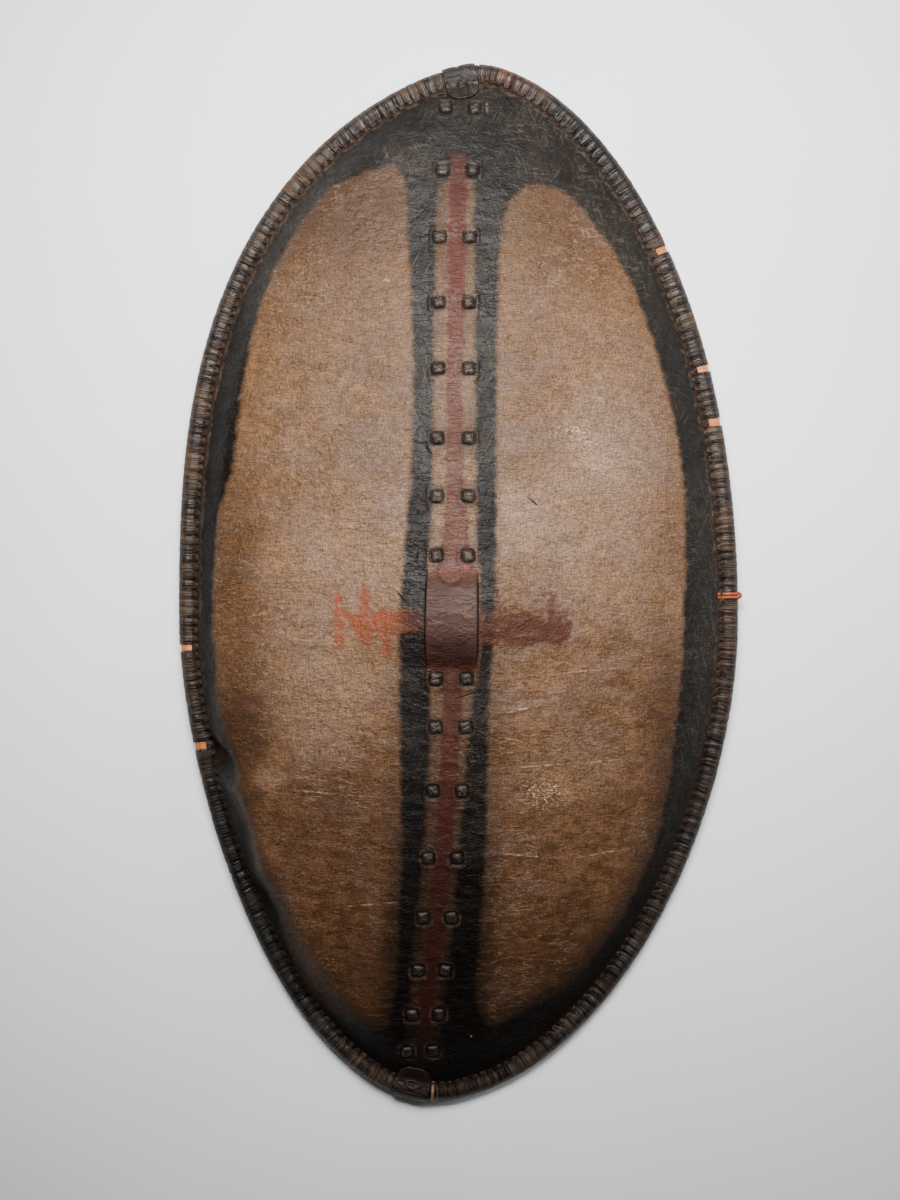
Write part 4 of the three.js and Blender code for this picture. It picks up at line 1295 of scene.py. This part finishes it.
def grip_share(y):
    """1 at the grip, falling to 0 over its ramps."""
    return 1.0 - smooth_step(np.abs(y - BOSS_Y), GRIP_HALF, GRIP_HALF + GRIP_RAMP)


def stave_thickness(y):
    """The stave tapers towards its ends and is thicker at the grip."""
    plain = mix(STAVE_T["middle"], STAVE_T["end"], smooth_step(np.abs(y), STAVE_TAPER_Y, STAVE_END["top"]))
    return plain + GRIP_EXTRA_T * grip_share(y)


# How square the stave's section is, 1 being an ellipse, and how its last two rings narrow.
STAVE_SQUARENESS = 0.6
STAVE_END_TAPER = (0.72, 0.93)
SHAVING = 0.45


def stave_body():
    """A batten with rounded edges. Its shaving left it slightly uneven."""
    around = round_angles(20)
    round_x = np.sign(np.cos(around)) * np.abs(np.cos(around)) ** STAVE_SQUARENESS
    round_z = np.sign(np.sin(around)) * np.abs(np.sin(around)) ** STAVE_SQUARENESS
    levels = np.linspace(STAVE_END["foot"], STAVE_END["top"], 180)
    rings = []
    for number, y in enumerate(levels):
        origin, across, _, out = stave_frame(float(y))
        from_end = min(number, len(levels) - 1 - number)
        taper = STAVE_END_TAPER[from_end] if from_end < len(STAVE_END_TAPER) else 1.0
        half, thick = float(stave_width(y)) / 2 * taper, float(stave_thickness(y))
        uneven = SHAVING * lumps(around * 9, np.full_like(around, y), 6, 34, 19)
        middle = -HIDE_T - STAVE_GAP - GRIP_SET * float(grip_share(y)) - thick / 2
        wide = round_x * (half - 0.3 + uneven)
        high = middle + round_z * (thick / 2 * taper - 0.3 + uneven * 0.5)
        rings.append(origin + across * wide[:, None] + out * high[:, None])
    return loft(rings)


# A thong starts this far above the face, goes straight down this far, and bends at this radius behind
# the stave.
STRAP_START = 1.0
STRAP_STRAIGHT = 3.0
STRAP_BEND = 3.0


def thong_strap(y):
    """The part of a thong that goes down through the hide, behind the stave and up again."""
    origin, across, along, out = stave_frame(y)
    reach = float(thong_reach(y)) - THONG_T / 2
    low = -HIDE_T - STAVE_GAP - float(stave_thickness(y)) - THONG_CLEAR - THONG_T / 2
    path = [(-reach, STRAP_START), (-reach, -STRAP_STRAIGHT), (-reach, (low - STRAP_STRAIGHT) / 2),
            (-reach, low + STRAP_BEND)]
    for angle in (0.5, 1.05):
        path.append((STRAP_BEND * (1 - math.cos(angle)) - reach, low + STRAP_BEND * (1 - math.sin(angle))))
    path += [(STRAP_BEND - reach, low), (-reach / 2, low - 0.3), (0.0, low - 0.4)]
    path += [(-side, up) for side, up in reversed(path[:-1])]
    path = np.array(path)
    travel = unit(np.gradient(path, axis=0))
    half, thick = THONG_W / 2, THONG_T / 2
    profile = [(-half, -thick * 0.5), (-half * 0.8, -thick), (half * 0.8, -thick), (half, -thick * 0.5),
               (half, thick * 0.5), (half * 0.8, thick), (-half * 0.8, thick), (-half, thick * 0.5)]
    rings = []
    for (side, up), (go_side, go_up) in zip(path, travel):
        ring = [origin + along * wide + across * (side + go_up * deep) + out * (up - go_side * deep)
                for wide, deep in profile]
        rings.append(ring)
    return loft(rings)


# A knob's section from its foot to its top, as share of its width and of its height, and how square
# its outline is, 2 being an ellipse.
KNOB_SECTION = (
    (0.1, -0.5), (0.8, -0.52), (0.96, -0.15), (1.0, 0.1), (0.97, 0.34), (0.88, 0.58), (0.72, 0.79),
    (0.5, 0.93), (0.26, 0.99), (0.04, 1.0),
)
KNOB_SQUARENESS = 7.0
KNOB_FOLD_DEPTH = 0.16
KNOB_FOLD_WIDTH = 0.14
KNOB_FOLD_SLANT = 0.25
KNOB_FOLD_FROM = 0.3


def knob_body(place, number, sizes):
    """A knob: the thong's end rolled up and pulled tight, with a fold across it."""
    random = np.random.default_rng(100 + number)
    x, y = place
    _, across, along, out = stave_frame(y)
    lean = random.uniform(-0.22, 0.22)
    side = across * math.cos(lean) + along * math.sin(lean)
    ahead = np.cross(out, side)
    seat = face_point(np.array(x), np.array(y))
    half_width = sizes.knob_width / MM / 2 * random.uniform(0.92, 1.06)
    half_length = sizes.knob_length / MM / 2 * random.uniform(0.92, 1.06)
    height = sizes.knob_height / MM * random.uniform(0.92, 1.06)
    u, v = np.cos(round_angles(22)), np.sin(round_angles(22))
    corner = (np.abs(u) ** KNOB_SQUARENESS + np.abs(v) ** KNOB_SQUARENESS) ** (-1 / KNOB_SQUARENESS)
    fold = random.uniform(-0.25, 0.25)
    rings = []
    for reach, rise in KNOB_SECTION:
        ring_u, ring_v = u * corner * reach, v * corner * reach
        dent = 0.0
        if rise > KNOB_FOLD_FROM:
            from_fold = ring_v - fold - KNOB_FOLD_SLANT * ring_u
            dent = KNOB_FOLD_DEPTH * np.exp(-((from_fold / KNOB_FOLD_WIDTH) ** 2))
        up = height * (rise - dent) + 0.25 * lumps(ring_u * 3 + number, ring_v * 3, 1, 1, 31) * (rise > 0)
        rings.append(seat + side * (ring_u * half_width)[:, None] + ahead * (ring_v * half_length)[:, None]
                     + out * np.broadcast_to(up, ring_u.shape)[:, None])
    return loft(rings)


# The wraps and their knots. A wrap follows this share of the rim's bend, and its swelling over the
# roll reaches this much further inwards. Its mesh's columns are closer at its sides.
WRAP_BEND_SHARE = 0.8
WRAP_SWELL = 5.0
WRAP_LIFT = 0.2
WRAP_COLUMNS = 25
WRAP_COLUMN_EASE = 0.35
WRAP_SHEET_T = 2.2
# Height given to the face where a wrap no longer lies on it, so that the roll alone counts.
NO_FACE = -100.0
# The first rows of a wrap's mesh, away from its tongue's end on the face, and its last ones behind, as
# away from the end, taken off its half width, and share of the way up to the hide.
TONGUE_ROWS = (0.15, 0.8, 2.0, 4.0, 6.5, 9.5, 13.0)
LAST_ROWS = ((1.2, 1.0, 0.35), (1.0, 1.5, 0.75), (1.4, 2.0, 1.0))


def wrap_frame(end):
    """A wrap's place on the rim, and its directions along the rim and outwards."""
    at, outward, _ = rim_frame(np.array(WRAP_TURN[end]))
    return at, np.array([outward[1], -outward[0]]), outward


def rim_bend(end, aside):
    """How far outwards the rim's middle line lies where it passes a place beside a wrap's middle."""
    at, tangent, outward = wrap_frame(end)
    near = RIM_POINTS[np.hypot(RIM_POINTS[:, 0] - at[0], RIM_POINTS[:, 1] - at[1]) < 60] - at
    order = np.argsort(near @ tangent)
    return np.interp(aside, (near @ tangent)[order], (near @ outward)[order])


def wrap_top(end, aside, out):
    """Height of a wrap's upper side: it lies on the face and swells over the roll."""
    at, tangent, outward = wrap_frame(end)
    flat = at + tangent * np.asarray(aside)[..., None] + outward * np.asarray(out)[..., None]
    from_line = np.asarray(out) - rim_bend(end, aside) * WRAP_BEND_SHARE
    reach = np.where(from_line > 0, RIM_OUT + WRAP_T + WRAP_LIFT, RIM_IN + WRAP_T + WRAP_SWELL)
    swell = np.sqrt(np.clip(1 - (from_line / reach) ** 2, 0.0, 1.0))
    roll = rim_z(at[0], at[1]) + (RIM_HEIGHT / 2 + WRAP_T) * swell
    face = hide_z(flat[..., 0], flat[..., 1]) + WRAP_T + WRAP_LIFT
    face = np.where(from_line < -0.5, face, NO_FACE)
    return np.maximum(roll, face) + 0.12 * np.log1p(np.exp(-np.abs(roll - face) / 0.6))


def wrap_sheet(end):
    """Leather folded over the rim from a tongue on the face to the back of the stave's end."""
    width, inner = WRAPS[end]["width"], -RIM_IN - WRAPS[end]["reach"]
    at, tangent, outward = wrap_frame(end)
    middle = float(rim_z(at[0], at[1]))
    share = np.linspace(-1.0, 1.0, WRAP_COLUMNS)
    share = np.sin(share * math.pi / 2) * WRAP_COLUMN_EASE + share * (1.0 - WRAP_COLUMN_EASE)

    def half_at(out):
        short = max(WRAP_CORNER - (out - inner), 0.0)
        return width / 2 - WRAP_CORNER + math.sqrt(max(WRAP_CORNER**2 - short**2, 0.5))

    rows = [(inner + away, half_at(inner + away), "face") for away in TONGUE_ROWS]
    rows += [(out, width / 2, "face") for out in np.linspace(inner + 16.5, 5.0, 11)]
    rows += [(angle, width / 2, "roll") for angle in np.radians(np.linspace(58, -90, 11))]
    rows += [(out, width / 2, "under") for out in np.linspace(-4.0, inner + 3.0, 8)]
    rows += [(inner + away, width / 2 - less, lift) for away, less, lift in LAST_ROWS]
    grid = []
    for where, half, kind in rows:
        aside = share * half
        bend = rim_bend(end, aside) * WRAP_BEND_SHARE
        wave = 0.5 * lumps(aside, np.full_like(aside, float(where) * 3), 7, 5, 61 + len(end))
        # The top wrap has a groove round its outer side, off its middle.
        groove = 0.9 * np.exp(-(((aside + 1.5) / 1.3) ** 2)) if end == "top" else 0.0
        if kind == "face":
            out = np.full_like(aside, where)
            up = wrap_top(end, aside, out) + wave * 0.7
        elif kind == "roll":
            reach = RIM_OUT + WRAP_T - 1.2 + wave - groove
            out = bend + np.cos(where) * reach
            up = np.full_like(aside, middle + math.sin(where) * (RIM_HEIGHT / 2 + WRAP_T - 0.05))
        else:
            out = np.full_like(aside, where)
            flat = at + tangent * aside[:, None] + outward * out[:, None]
            hide_back = hide_z(flat[:, 0], flat[:, 1]) - HIDE_T - 1.0
            side = smooth_step(np.abs(share), 0.72, 1.0) * smooth_step(-out, RIM_IN * 0.6, RIM_IN + 4.0)
            rise = side if kind == "under" else np.maximum(side, kind)
            up = mix(0.3 + 0.3 * np.abs(wave), hide_back, rise)
        flat = at + tangent * aside[:, None] + outward * out[:, None]
        grid.append(np.column_stack([flat, up]))
    return thick_sheet(np.array(grid), WRAP_SHEET_T)


def thick_sheet(grid, thickness):
    """A sheet of leather from the grid of its outer side, with its thickness on the inner side."""
    rows, columns = grid.shape[:2]
    normal = np.cross(np.gradient(grid, axis=0), np.gradient(grid, axis=1))
    normal = normal / np.maximum(np.linalg.norm(normal, axis=-1, keepdims=True), TINY)
    if normal[0, columns // 2, 2] < 0:
        normal = -normal
    inside = grid - normal * thickness
    points = np.concatenate([grid.reshape(-1, 3), inside.reshape(-1, 3)])
    start = rows * columns
    quads = grid_faces(rows, columns)
    faces = quads.tolist() + (quads[:, ::-1] + start).tolist()
    edge = border(rows, columns)
    for here, there in zip(edge, np.roll(edge, -1)):
        faces.append((there, here, here + start, there + start))
    return points, faces


def sheet_marks(end, points):
    """Places along the rim and round it, for the leather's pleats."""
    at, tangent, outward = wrap_frame(end)
    flat = points[:, :2] - at
    return {"run": flat @ tangent, "wrap": flat @ outward + points[:, 2]}


def ellipse(middle, right, up, wide, high, around):
    """A ring of points round a middle, reaching wide along one direction and high along another."""
    turns = round_angles(around)
    return middle + right * (np.cos(turns) * wide)[:, None] + up * (np.sin(turns) * high)[:, None]


def cord(path, radius):
    """A round cord through points, with closed ends."""
    path = np.asarray(path, float)
    rings = []
    for point, go in zip(path, unit(np.gradient(path, axis=0))):
        side = np.cross(go, (0.0, 0.0, 1.0))
        upright = np.linalg.norm(side) <= 0.2
        side = np.array([1.0, 0.0, 0.0]) if upright else unit(side)
        rings.append(ellipse(point, side, np.cross(side, go), radius, radius, 10))
    return loft(rings)


# The knots: section of their pads from foot to top, as share of width and of height, and the path of
# a slit bar's thong over the pad, along the rim and upwards.
PAD_SECTION = ((0.1, -0.9), (0.9, -0.8), (1.0, 0.0), (0.9, 0.55), (0.65, 0.86), (0.3, 1.0), (0.04, 1.0))
BAR_PLACES = (-1.5, 0.3, 2.1)
BAR_PATH = ((-4.6, 0.2), (-3.6, 1.9), (-1.4, 2.5), (1.4, 2.5), (3.6, 1.9), (4.6, 0.2))
BAR_RADIUS = 0.85
EYE_HALF = (6.4, 3.6)
EYE_SECTION = (1.5, 1.3)


def knot_bodies(end):
    """The thong that ties a wrap down: a slit bar at the top, an eye-shaped ring at the foot."""
    at, tangent, outward = wrap_frame(end)
    out = -WRAPS[end]["knot"]
    top = float(wrap_top(end, np.array([0.0]), np.array([out]))[0])
    step = float(wrap_top(end, np.array([0.0]), np.array([out - 2.0]))[0]) - top
    middle = np.array([*(at + outward * out), top])
    side = np.array([*tangent, 0.0])
    inward = unit(np.array([*(-outward * 2.0), step]))
    normal = np.cross(side, inward)
    normal = normal * math.copysign(1.0, normal[2])

    def pad(centre, half_u, half_v, height):
        return loft([
            ellipse(centre + normal * (height * rise), side, inward, half_u * reach, half_v * reach, 20)
            for reach, rise in PAD_SECTION])

    if end == "top":
        shells = [pad(middle, 6.4, 4.6, 1.5)]
        for place in BAR_PLACES:
            path = [middle + inward * place + side * reach + normal * rise for reach, rise in BAR_PATH]
            shells.append(cord(path, BAR_RADIUS))
    else:
        # The eye dips where it bends at its two ends.
        eye = ellipse(middle, side, inward, *EYE_HALF, 28)
        eye = eye + normal * (0.9 - 0.5 * np.abs(np.cos(round_angles(28))) ** 3)[:, None]
        rings = [ellipse(point, unit(point - middle), normal, *EYE_SECTION, 8) for point in eye]
        shells = [loft(rings, loop=True), pad(middle + inward * 0.2, 3.6, 1.3, 1.5)]
    return joined(shells)


# The mending ties: how thick they are across and along the rim from their middle, and how far their
# middle lies off the roll. The side tie's two turns lie this far either side of its middle.
SIDE_TIE = {"radius": 1.4, "flat_width": 1.5, "grow": 1.7}
SIDE_TIE_APART = 1.7
SIDE_KNOT_RADIUS = 1.2
FOOT_TIE = {"radius": 0.8, "flat_width": 1.5, "grow": 1.2}


def tie_loop(turn, aside, radius, flat_width, grow):
    """A cord or flat thong once round the rim, aside millimetres beside a place and grow off the roll."""
    at, outward, along = rim_frame(np.array(turn))
    around = np.radians(np.linspace(-170, 172, 30))
    out, up = rim_section(around, grow)
    middle = np.column_stack([at + outward * out[:, None] + along * aside, float(rim_z(at[0], at[1])) + up])
    inner = np.cos(around) < -0.4
    raised = hide_z(middle[:, 0], middle[:, 1]) + 1.2
    middle[:, 2] = np.where(inner & (np.sin(around) > 0), np.maximum(middle[:, 2], raised), middle[:, 2])
    side = np.array([*along, 0.0])
    radial = unit(middle - np.array([*at, float(rim_z(at[0], at[1]))]) - side * aside)
    return loft([ellipse(point, side, away, flat_width, radius, 10) for point, away in zip(middle, radial)])


def side_tie_shells():
    """Two turns of round thong and the small knot outside that closes them."""
    turn = float(np.arcsin((SIDE_TIE_Y - WIDEST_Y) / (HALF_LENGTH - WIDEST_Y)))
    shells = [tie_loop(turn, aside, **SIDE_TIE) for aside in (-SIDE_TIE_APART, SIDE_TIE_APART)]
    at, outward, along = rim_frame(np.array(turn))
    level = float(rim_z(at[0], at[1]))
    path = []
    for angle in np.linspace(-0.6, 2 * math.pi * 1.25, 26):
        out = RIM_OUT + 1.0 + 1.3 * math.cos(2 * angle)
        flat = at + outward * out + along * 3.0 * math.sin(angle)
        path.append([*flat, level + 4.2 + 2.2 * math.cos(angle)])
    shells.append(cord(path, SIDE_KNOT_RADIUS))
    return shells


# What a user can change.
def colour_property(code, label, text):
    """A colour from its sRGB hex value."""
    return FloatVectorProperty(name=label, description=text, subtype="COLOR", size=3, min=0.0, max=1.0,
                               default=srgb(code))


def length_property(millimetres, label, text):
    """A length, shown in the scene's units."""
    return FloatProperty(name=label, description=text, subtype="DISTANCE", unit="LENGTH", min=0.0,
                         default=millimetres * MM)


# Some of these colours also serve as painted light: the greyish skin as painted sheen; the brown stains, the
# dark grain, the dark maroon and in places the black as painted shade; the pale fibres and the flecks as
# painted highlights.
COLOURS = {
    "skin": ("#826043", "Bare skin", "The unpainted rawhide"),
    "skin_pale": ("#a4846b", "Pale fibres", "Worn crests of the skin's grain"),
    "skin_grey": ("#806a60", "Greyish skin", "Dusty pinkish patches on the skin"),
    "skin_dark": ("#553920", "Dark fibres", "Hollows of the skin's grain"),
    "skin_brown": ("#3a2315", "Brown stains", "Greasy patches on the skin"),
    "skin_rust": ("#5b3923", "Rusty stains", "Reddish patches low on the face"),
    "grain_dark": ("#22150c", "Grain", "Dark hollows of the fine grain"),
    "fleck": ("#cdb089", "Flecks", "Fine pale flecks in the skin"),
    "strip": ("#725841", "Middle strip", "The paler skin down the middle"),
    "black": ("#060504", "Black paint", "The black field round the bare skin"),
    "black_worn": ("#231e19", "Worn black", "Where the black is rubbed thin"),
    "red": ("#451c14", "Red line", "The line down the middle"),
    "orange": ("#7c351d", "Orange red", "The fresher red of the left bar"),
    "maroon": ("#38170f", "Maroon", "The darker red of the right bar"),
    "boss": ("#3a2822", "Boss", "The rubbed upper half of the boss"),
    "tab": ("#5a3a2f", "Tab", "The rounded tab over the boss"),
    "maroon_dark": ("#260f0b", "Lower boss", "The lower half of the boss"),
    "edge_wear": ("#5f4a3d", "Worn edge", "Skin that shows along the stitches"),
    "scratch": ("#a89880", "Scratches", "Scuffs and scratches"),
    "back": ("#6b523a", "Back", "The scraped inner side"),
    "leather": ("#16100e", "Rim leather", "The laced rim"),
    "leather_light": ("#5d4834", "Rubbed leather", "Crests of the rim's pleats"),
    "leather_rust": ("#4c2d1e", "Rusty leather", "Dry and cracked places on the rim"),
    "wrap": ("#130d09", "Wraps", "The leather over the tips"),
    "wrap_light": ("#231810", "Rubbed wraps", "Crests of the wraps' pleats"),
    "foot_wrap": ("#1d0b08", "Foot wrap", "The redder leather at the foot"),
    "foot_wrap_light": ("#321a13", "Rubbed foot wrap", "Crests of the foot wrap's pleats"),
    "core": ("#b5713f", "Raw roll", "The roll where a turn is missing"),
    "core_dark": ("#8e4f2c", "Raw roll, dark", "Stains on the raw roll"),
    "thong": ("#1a120d", "Thongs", "The knobs on the face"),
    "thong_light": ("#46382d", "Rubbed thongs", "Where the knobs are rubbed"),
    "tie": ("#a14a26", "Side tie", "The mending tie on the right"),
    "tie_dark": ("#6c2e19", "Side tie, dark", "Hollows of the side tie"),
    "foot_tie": ("#8a6244", "Foot tie", "The thin tie by the foot wrap"),
    "wood": ("#6f4c30", "Stave", "The stave's wood"),
    "wood_dark": ("#3f2818", "Stave, dark", "Grain lines and the handled grip"),
    "floor": ("#f0f1f1", "Floor", "The pale floor"),
}


class ShieldColours(bpy.types.PropertyGroup):
    """Colours of the shield and its floor."""

    __annotations__ = {name: colour_property(*values) for name, values in COLOURS.items()}


class ShieldSizes(bpy.types.PropertyGroup):
    """Sizes of the fine pieces."""

    lacing_pitch: length_property(9.5, "Lacing pitch", "Spacing of the rim's turns")
    lacing_thickness: length_property(1.6, "Lacing thickness", "Thickness of the rim's leather")
    knob_width: length_property(11.8, "Knob width", "Width of a knob across the shield")
    knob_length: length_property(12.8, "Knob length", "Length of a knob along the shield")
    knob_height: length_property(4.2, "Knob height", "How far a knob stands off the face")
    relief: FloatProperty(name="Relief", description="Strength of the dents and wrinkles", min=0.0, max=1.5,
                          default=1.0)
    seed: IntProperty(name="Seed", description="Changes the knobs' small differences", min=0, default=0)


class SHIELD_OT_hide(bpy.types.Operator):
    """Builds the painted rawhide with its boss, dents and wrinkles"""

    bl_idname = "shield.hide"
    bl_label = "Build hide"

    def execute(self, context):
        scene = context.scene
        points, front, back, marks = hide_shell(scene.shield_sizes.relief)
        hide = new_piece("rawhide_face", points, front + back, marks, recalculate=False)
        colours = scene.shield_colours
        settle(hide, [face_material(colours), back_material(colours)], ["hide"])
        hide.data.polygons.foreach_set("material_index", [0] * len(front) + [1] * len(back))
        return {"FINISHED"}


class SHIELD_OT_rim(bpy.types.Operator):
    """Builds the rolled rim and the leather laced round it"""

    bl_idname = "shield.rim"
    bl_label = "Build rim"

    def execute(self, context):
        sizes, colours = context.scene.shield_sizes, context.scene.shield_colours
        thickness = sizes.lacing_thickness / MM
        points, faces, marks = rim_core(thickness)
        core = new_piece("rim_roll", points, faces, marks)
        roll = leather_material("raw_leather_roll", colours, colours.leather, colours.leather_rust,
                                (3.0, 12.0), 0.8, bare=True)
        settle(core, [roll], ["rim_binding"])
        leather = leather_material("greased_lacing_leather", colours, colours.leather, colours.leather_light,
                                   (2.3, 60.0), 1.4)
        lacing = lace_rim(sizes.lacing_pitch / MM, thickness, bpy.data.objects["rawhide_face"], leather)
        settle(lacing, [leather], [])
        return {"FINISHED"}


class SHIELD_OT_thongs(bpy.types.Operator):
    """Builds the thongs that hold the stave and their knobs on the face"""

    bl_idname = "shield.thongs"
    bl_label = "Build thongs"

    def execute(self, context):
        sizes = context.scene.shield_sizes
        leather = knob_material(context.scene.shield_colours)
        for number, (node, level) in enumerate(zip(THONG_NODES, THONG_LEVELS)):
            shells = [thong_strap(level)]
            for side in (0, 1):
                knob = 2 * number + side
                shells.append(knob_body(KNOBS[knob], knob + 50 * sizes.seed, sizes))
            piece = new_piece(f"knobbed_{node}", *joined(shells))
            settle(piece, [leather], [node])
        return {"FINISHED"}


class SHIELD_OT_stave(bpy.types.Operator):
    """Builds the wooden stave with its grip"""

    bl_idname = "shield.stave"
    bl_label = "Build stave"

    def execute(self, context):
        stave = new_piece("wooden_stave", *stave_body())
        settle(stave, [wood_material(context.scene.shield_colours)], ["stave"])
        return {"FINISHED"}


class SHIELD_OT_wraps(bpy.types.Operator):
    """Builds the leather wraps at the tips and the knots that hold them"""

    bl_idname = "shield.wraps"
    bl_label = "Build wraps"

    def execute(self, context):
        colours = context.scene.shield_colours
        knots = knob_material(colours)
        for end, name, base, light, pleat, rough in (
            ("top", "folded_wrap_leather", colours.wrap, colours.wrap_light, (9.0, 14.0), (0.5, 0.68)),
            ("foot", "red_brown_wrap_leather", colours.foot_wrap, colours.foot_wrap_light, (12.0, 16.0),
             (0.48, 0.62)),
        ):
            leather = leather_material(name, colours, base, light, pleat, 0.8, rough)
            points, faces = wrap_sheet(end)
            wrap = new_piece(f"{end}_wrap_sheet", points, faces, sheet_marks(end, points))
            settle(wrap, [leather], [f"{end}_wrap"])
            knot = new_piece(f"{end}_knot", *knot_bodies(end))
            settle(knot, [knots], [f"{end}_wrap_knot"])
        return {"FINISHED"}


class SHIELD_OT_ties(bpy.types.Operator):
    """Builds the two mending ties round the rim"""

    bl_idname = "shield.ties"
    bl_label = "Build ties"

    def execute(self, context):
        colours = context.scene.shield_colours
        side = new_piece("round_side_tie", *joined(side_tie_shells()))
        orange = tie_material("orange_tanned_thong", colours.tie, colours.tie_dark)
        settle(side, [orange], ["side_tie"])
        turn = turn_at_x(FOOT_TIE_X, top=False)
        foot = new_piece("flat_foot_tie", *tie_loop(turn, 0.0, **FOOT_TIE))
        tan = tie_material("tan_flat_thong", colours.foot_tie, colours.leather_rust)
        settle(foot, [tan], ["foot_tie"])
        return {"FINISHED"}


# The stage, in metres: a floor just under the shield, and two soft lamps as name, place, width and
# height, the place they face, spread in degrees and power in watts.
FLOOR_HALF = 15.0
FLOOR_LEVEL = -0.0005
ROOM_COLOUR = (0.97, 0.98, 1.0, 1.0)
ROOM_STRENGTH = 0.06
LAMPS = (
    ("window_at_the_top", (-0.02, 0.88, 1.65), (1.1, 0.8), (0.02, 0.3, 0.05), 70.0, 21.0),
    ("lamp_at_the_right", (1.75, 0.45, 1.45), (0.7, 0.9), (0.0, 0.1, 0.05), 120.0, 6.5),
)
CAMERA_PLACE = (-0.009, -0.0186, 2.0)
CAMERA_LENS = 56.17
SENSOR_HEIGHT = 36.0


class SHIELD_OT_stage(bpy.types.Operator):
    """Sets the floor, the lights and the camera"""

    bl_idname = "shield.stage"
    bl_label = "Set stage"

    def execute(self, context):
        scene = context.scene
        floor = bpy.data.meshes.new("floor")
        corners = [
            (x * FLOOR_HALF, y * FLOOR_HALF, FLOOR_LEVEL) for x, y in ((-1, -1), (1, -1), (1, 1), (-1, 1))]
        floor.from_pydata(corners, [], [(0, 1, 2, 3)])
        ground = bpy.data.objects.new("floor", floor)
        floor.materials.append(floor_material(scene.shield_colours))
        scene.collection.objects.link(ground)
        world = bpy.data.worlds.new("pale_room")
        world.use_nodes = True
        room = world.node_tree.nodes["Background"].inputs
        room["Color"].default_value = ROOM_COLOUR
        room["Strength"].default_value = ROOM_STRENGTH
        scene.world = world
        for name, place, size, aim, spread, power in LAMPS:
            lamp = bpy.data.lights.new(name, "AREA")
            lamp.shape = "RECTANGLE"
            lamp.size, lamp.size_y = size
            lamp.spread = math.radians(spread)
            lamp.energy = power
            light = bpy.data.objects.new(name, lamp)
            light.location = place
            light.rotation_euler = (Vector(aim) - light.location).to_track_quat("-Z", "Y").to_euler()
            scene.collection.objects.link(light)
        camera = bpy.data.cameras.new("camera")
        camera.sensor_fit = "VERTICAL"
        camera.sensor_height = SENSOR_HEIGHT
        camera.lens = CAMERA_LENS
        viewer = bpy.data.objects.new("camera", camera)
        viewer.location = CAMERA_PLACE
        scene.collection.objects.link(viewer)
        scene.camera = viewer
        return {"FINISHED"}


class SHIELD_PT_panel(bpy.types.Panel):
    """Lists the steps that build the shield."""

    bl_label = "Rawhide shield"
    bl_idname = "SHIELD_PT_panel"
    bl_space_type = "VIEW_3D"
    bl_region_type = "UI"
    bl_category = "Shield"

    def draw(self, context):
        for step in STEPS:
            self.layout.operator(step.bl_idname)
        for name in ShieldSizes.__annotations__:
            self.layout.prop(context.scene.shield_sizes, name)
        for name in COLOURS:
            self.layout.prop(context.scene.shield_colours, name)


STEPS = (SHIELD_OT_hide, SHIELD_OT_rim, SHIELD_OT_thongs, SHIELD_OT_stave, SHIELD_OT_wraps, SHIELD_OT_ties,
         SHIELD_OT_stage)
CLASSES = (ShieldColours, ShieldSizes, *STEPS, SHIELD_PT_panel)


def register():
    for cls in CLASSES:
        bpy.utils.register_class(cls)
    bpy.types.Scene.shield_colours = PointerProperty(type=ShieldColours)
    bpy.types.Scene.shield_sizes = PointerProperty(type=ShieldSizes)


def unregister():
    del bpy.types.Scene.shield_sizes
    del bpy.types.Scene.shield_colours
    for cls in reversed(CLASSES):
        bpy.utils.unregister_class(cls)


def main():
    register()
    bpy.ops.shield.hide()
    bpy.ops.shield.rim()
    bpy.ops.shield.thongs()
    bpy.ops.shield.stave()
    bpy.ops.shield.wraps()
    bpy.ops.shield.ties()
    bpy.ops.shield.stage()
    bpy.context.view_layer.update()


if __name__ == "__main__":
    main()
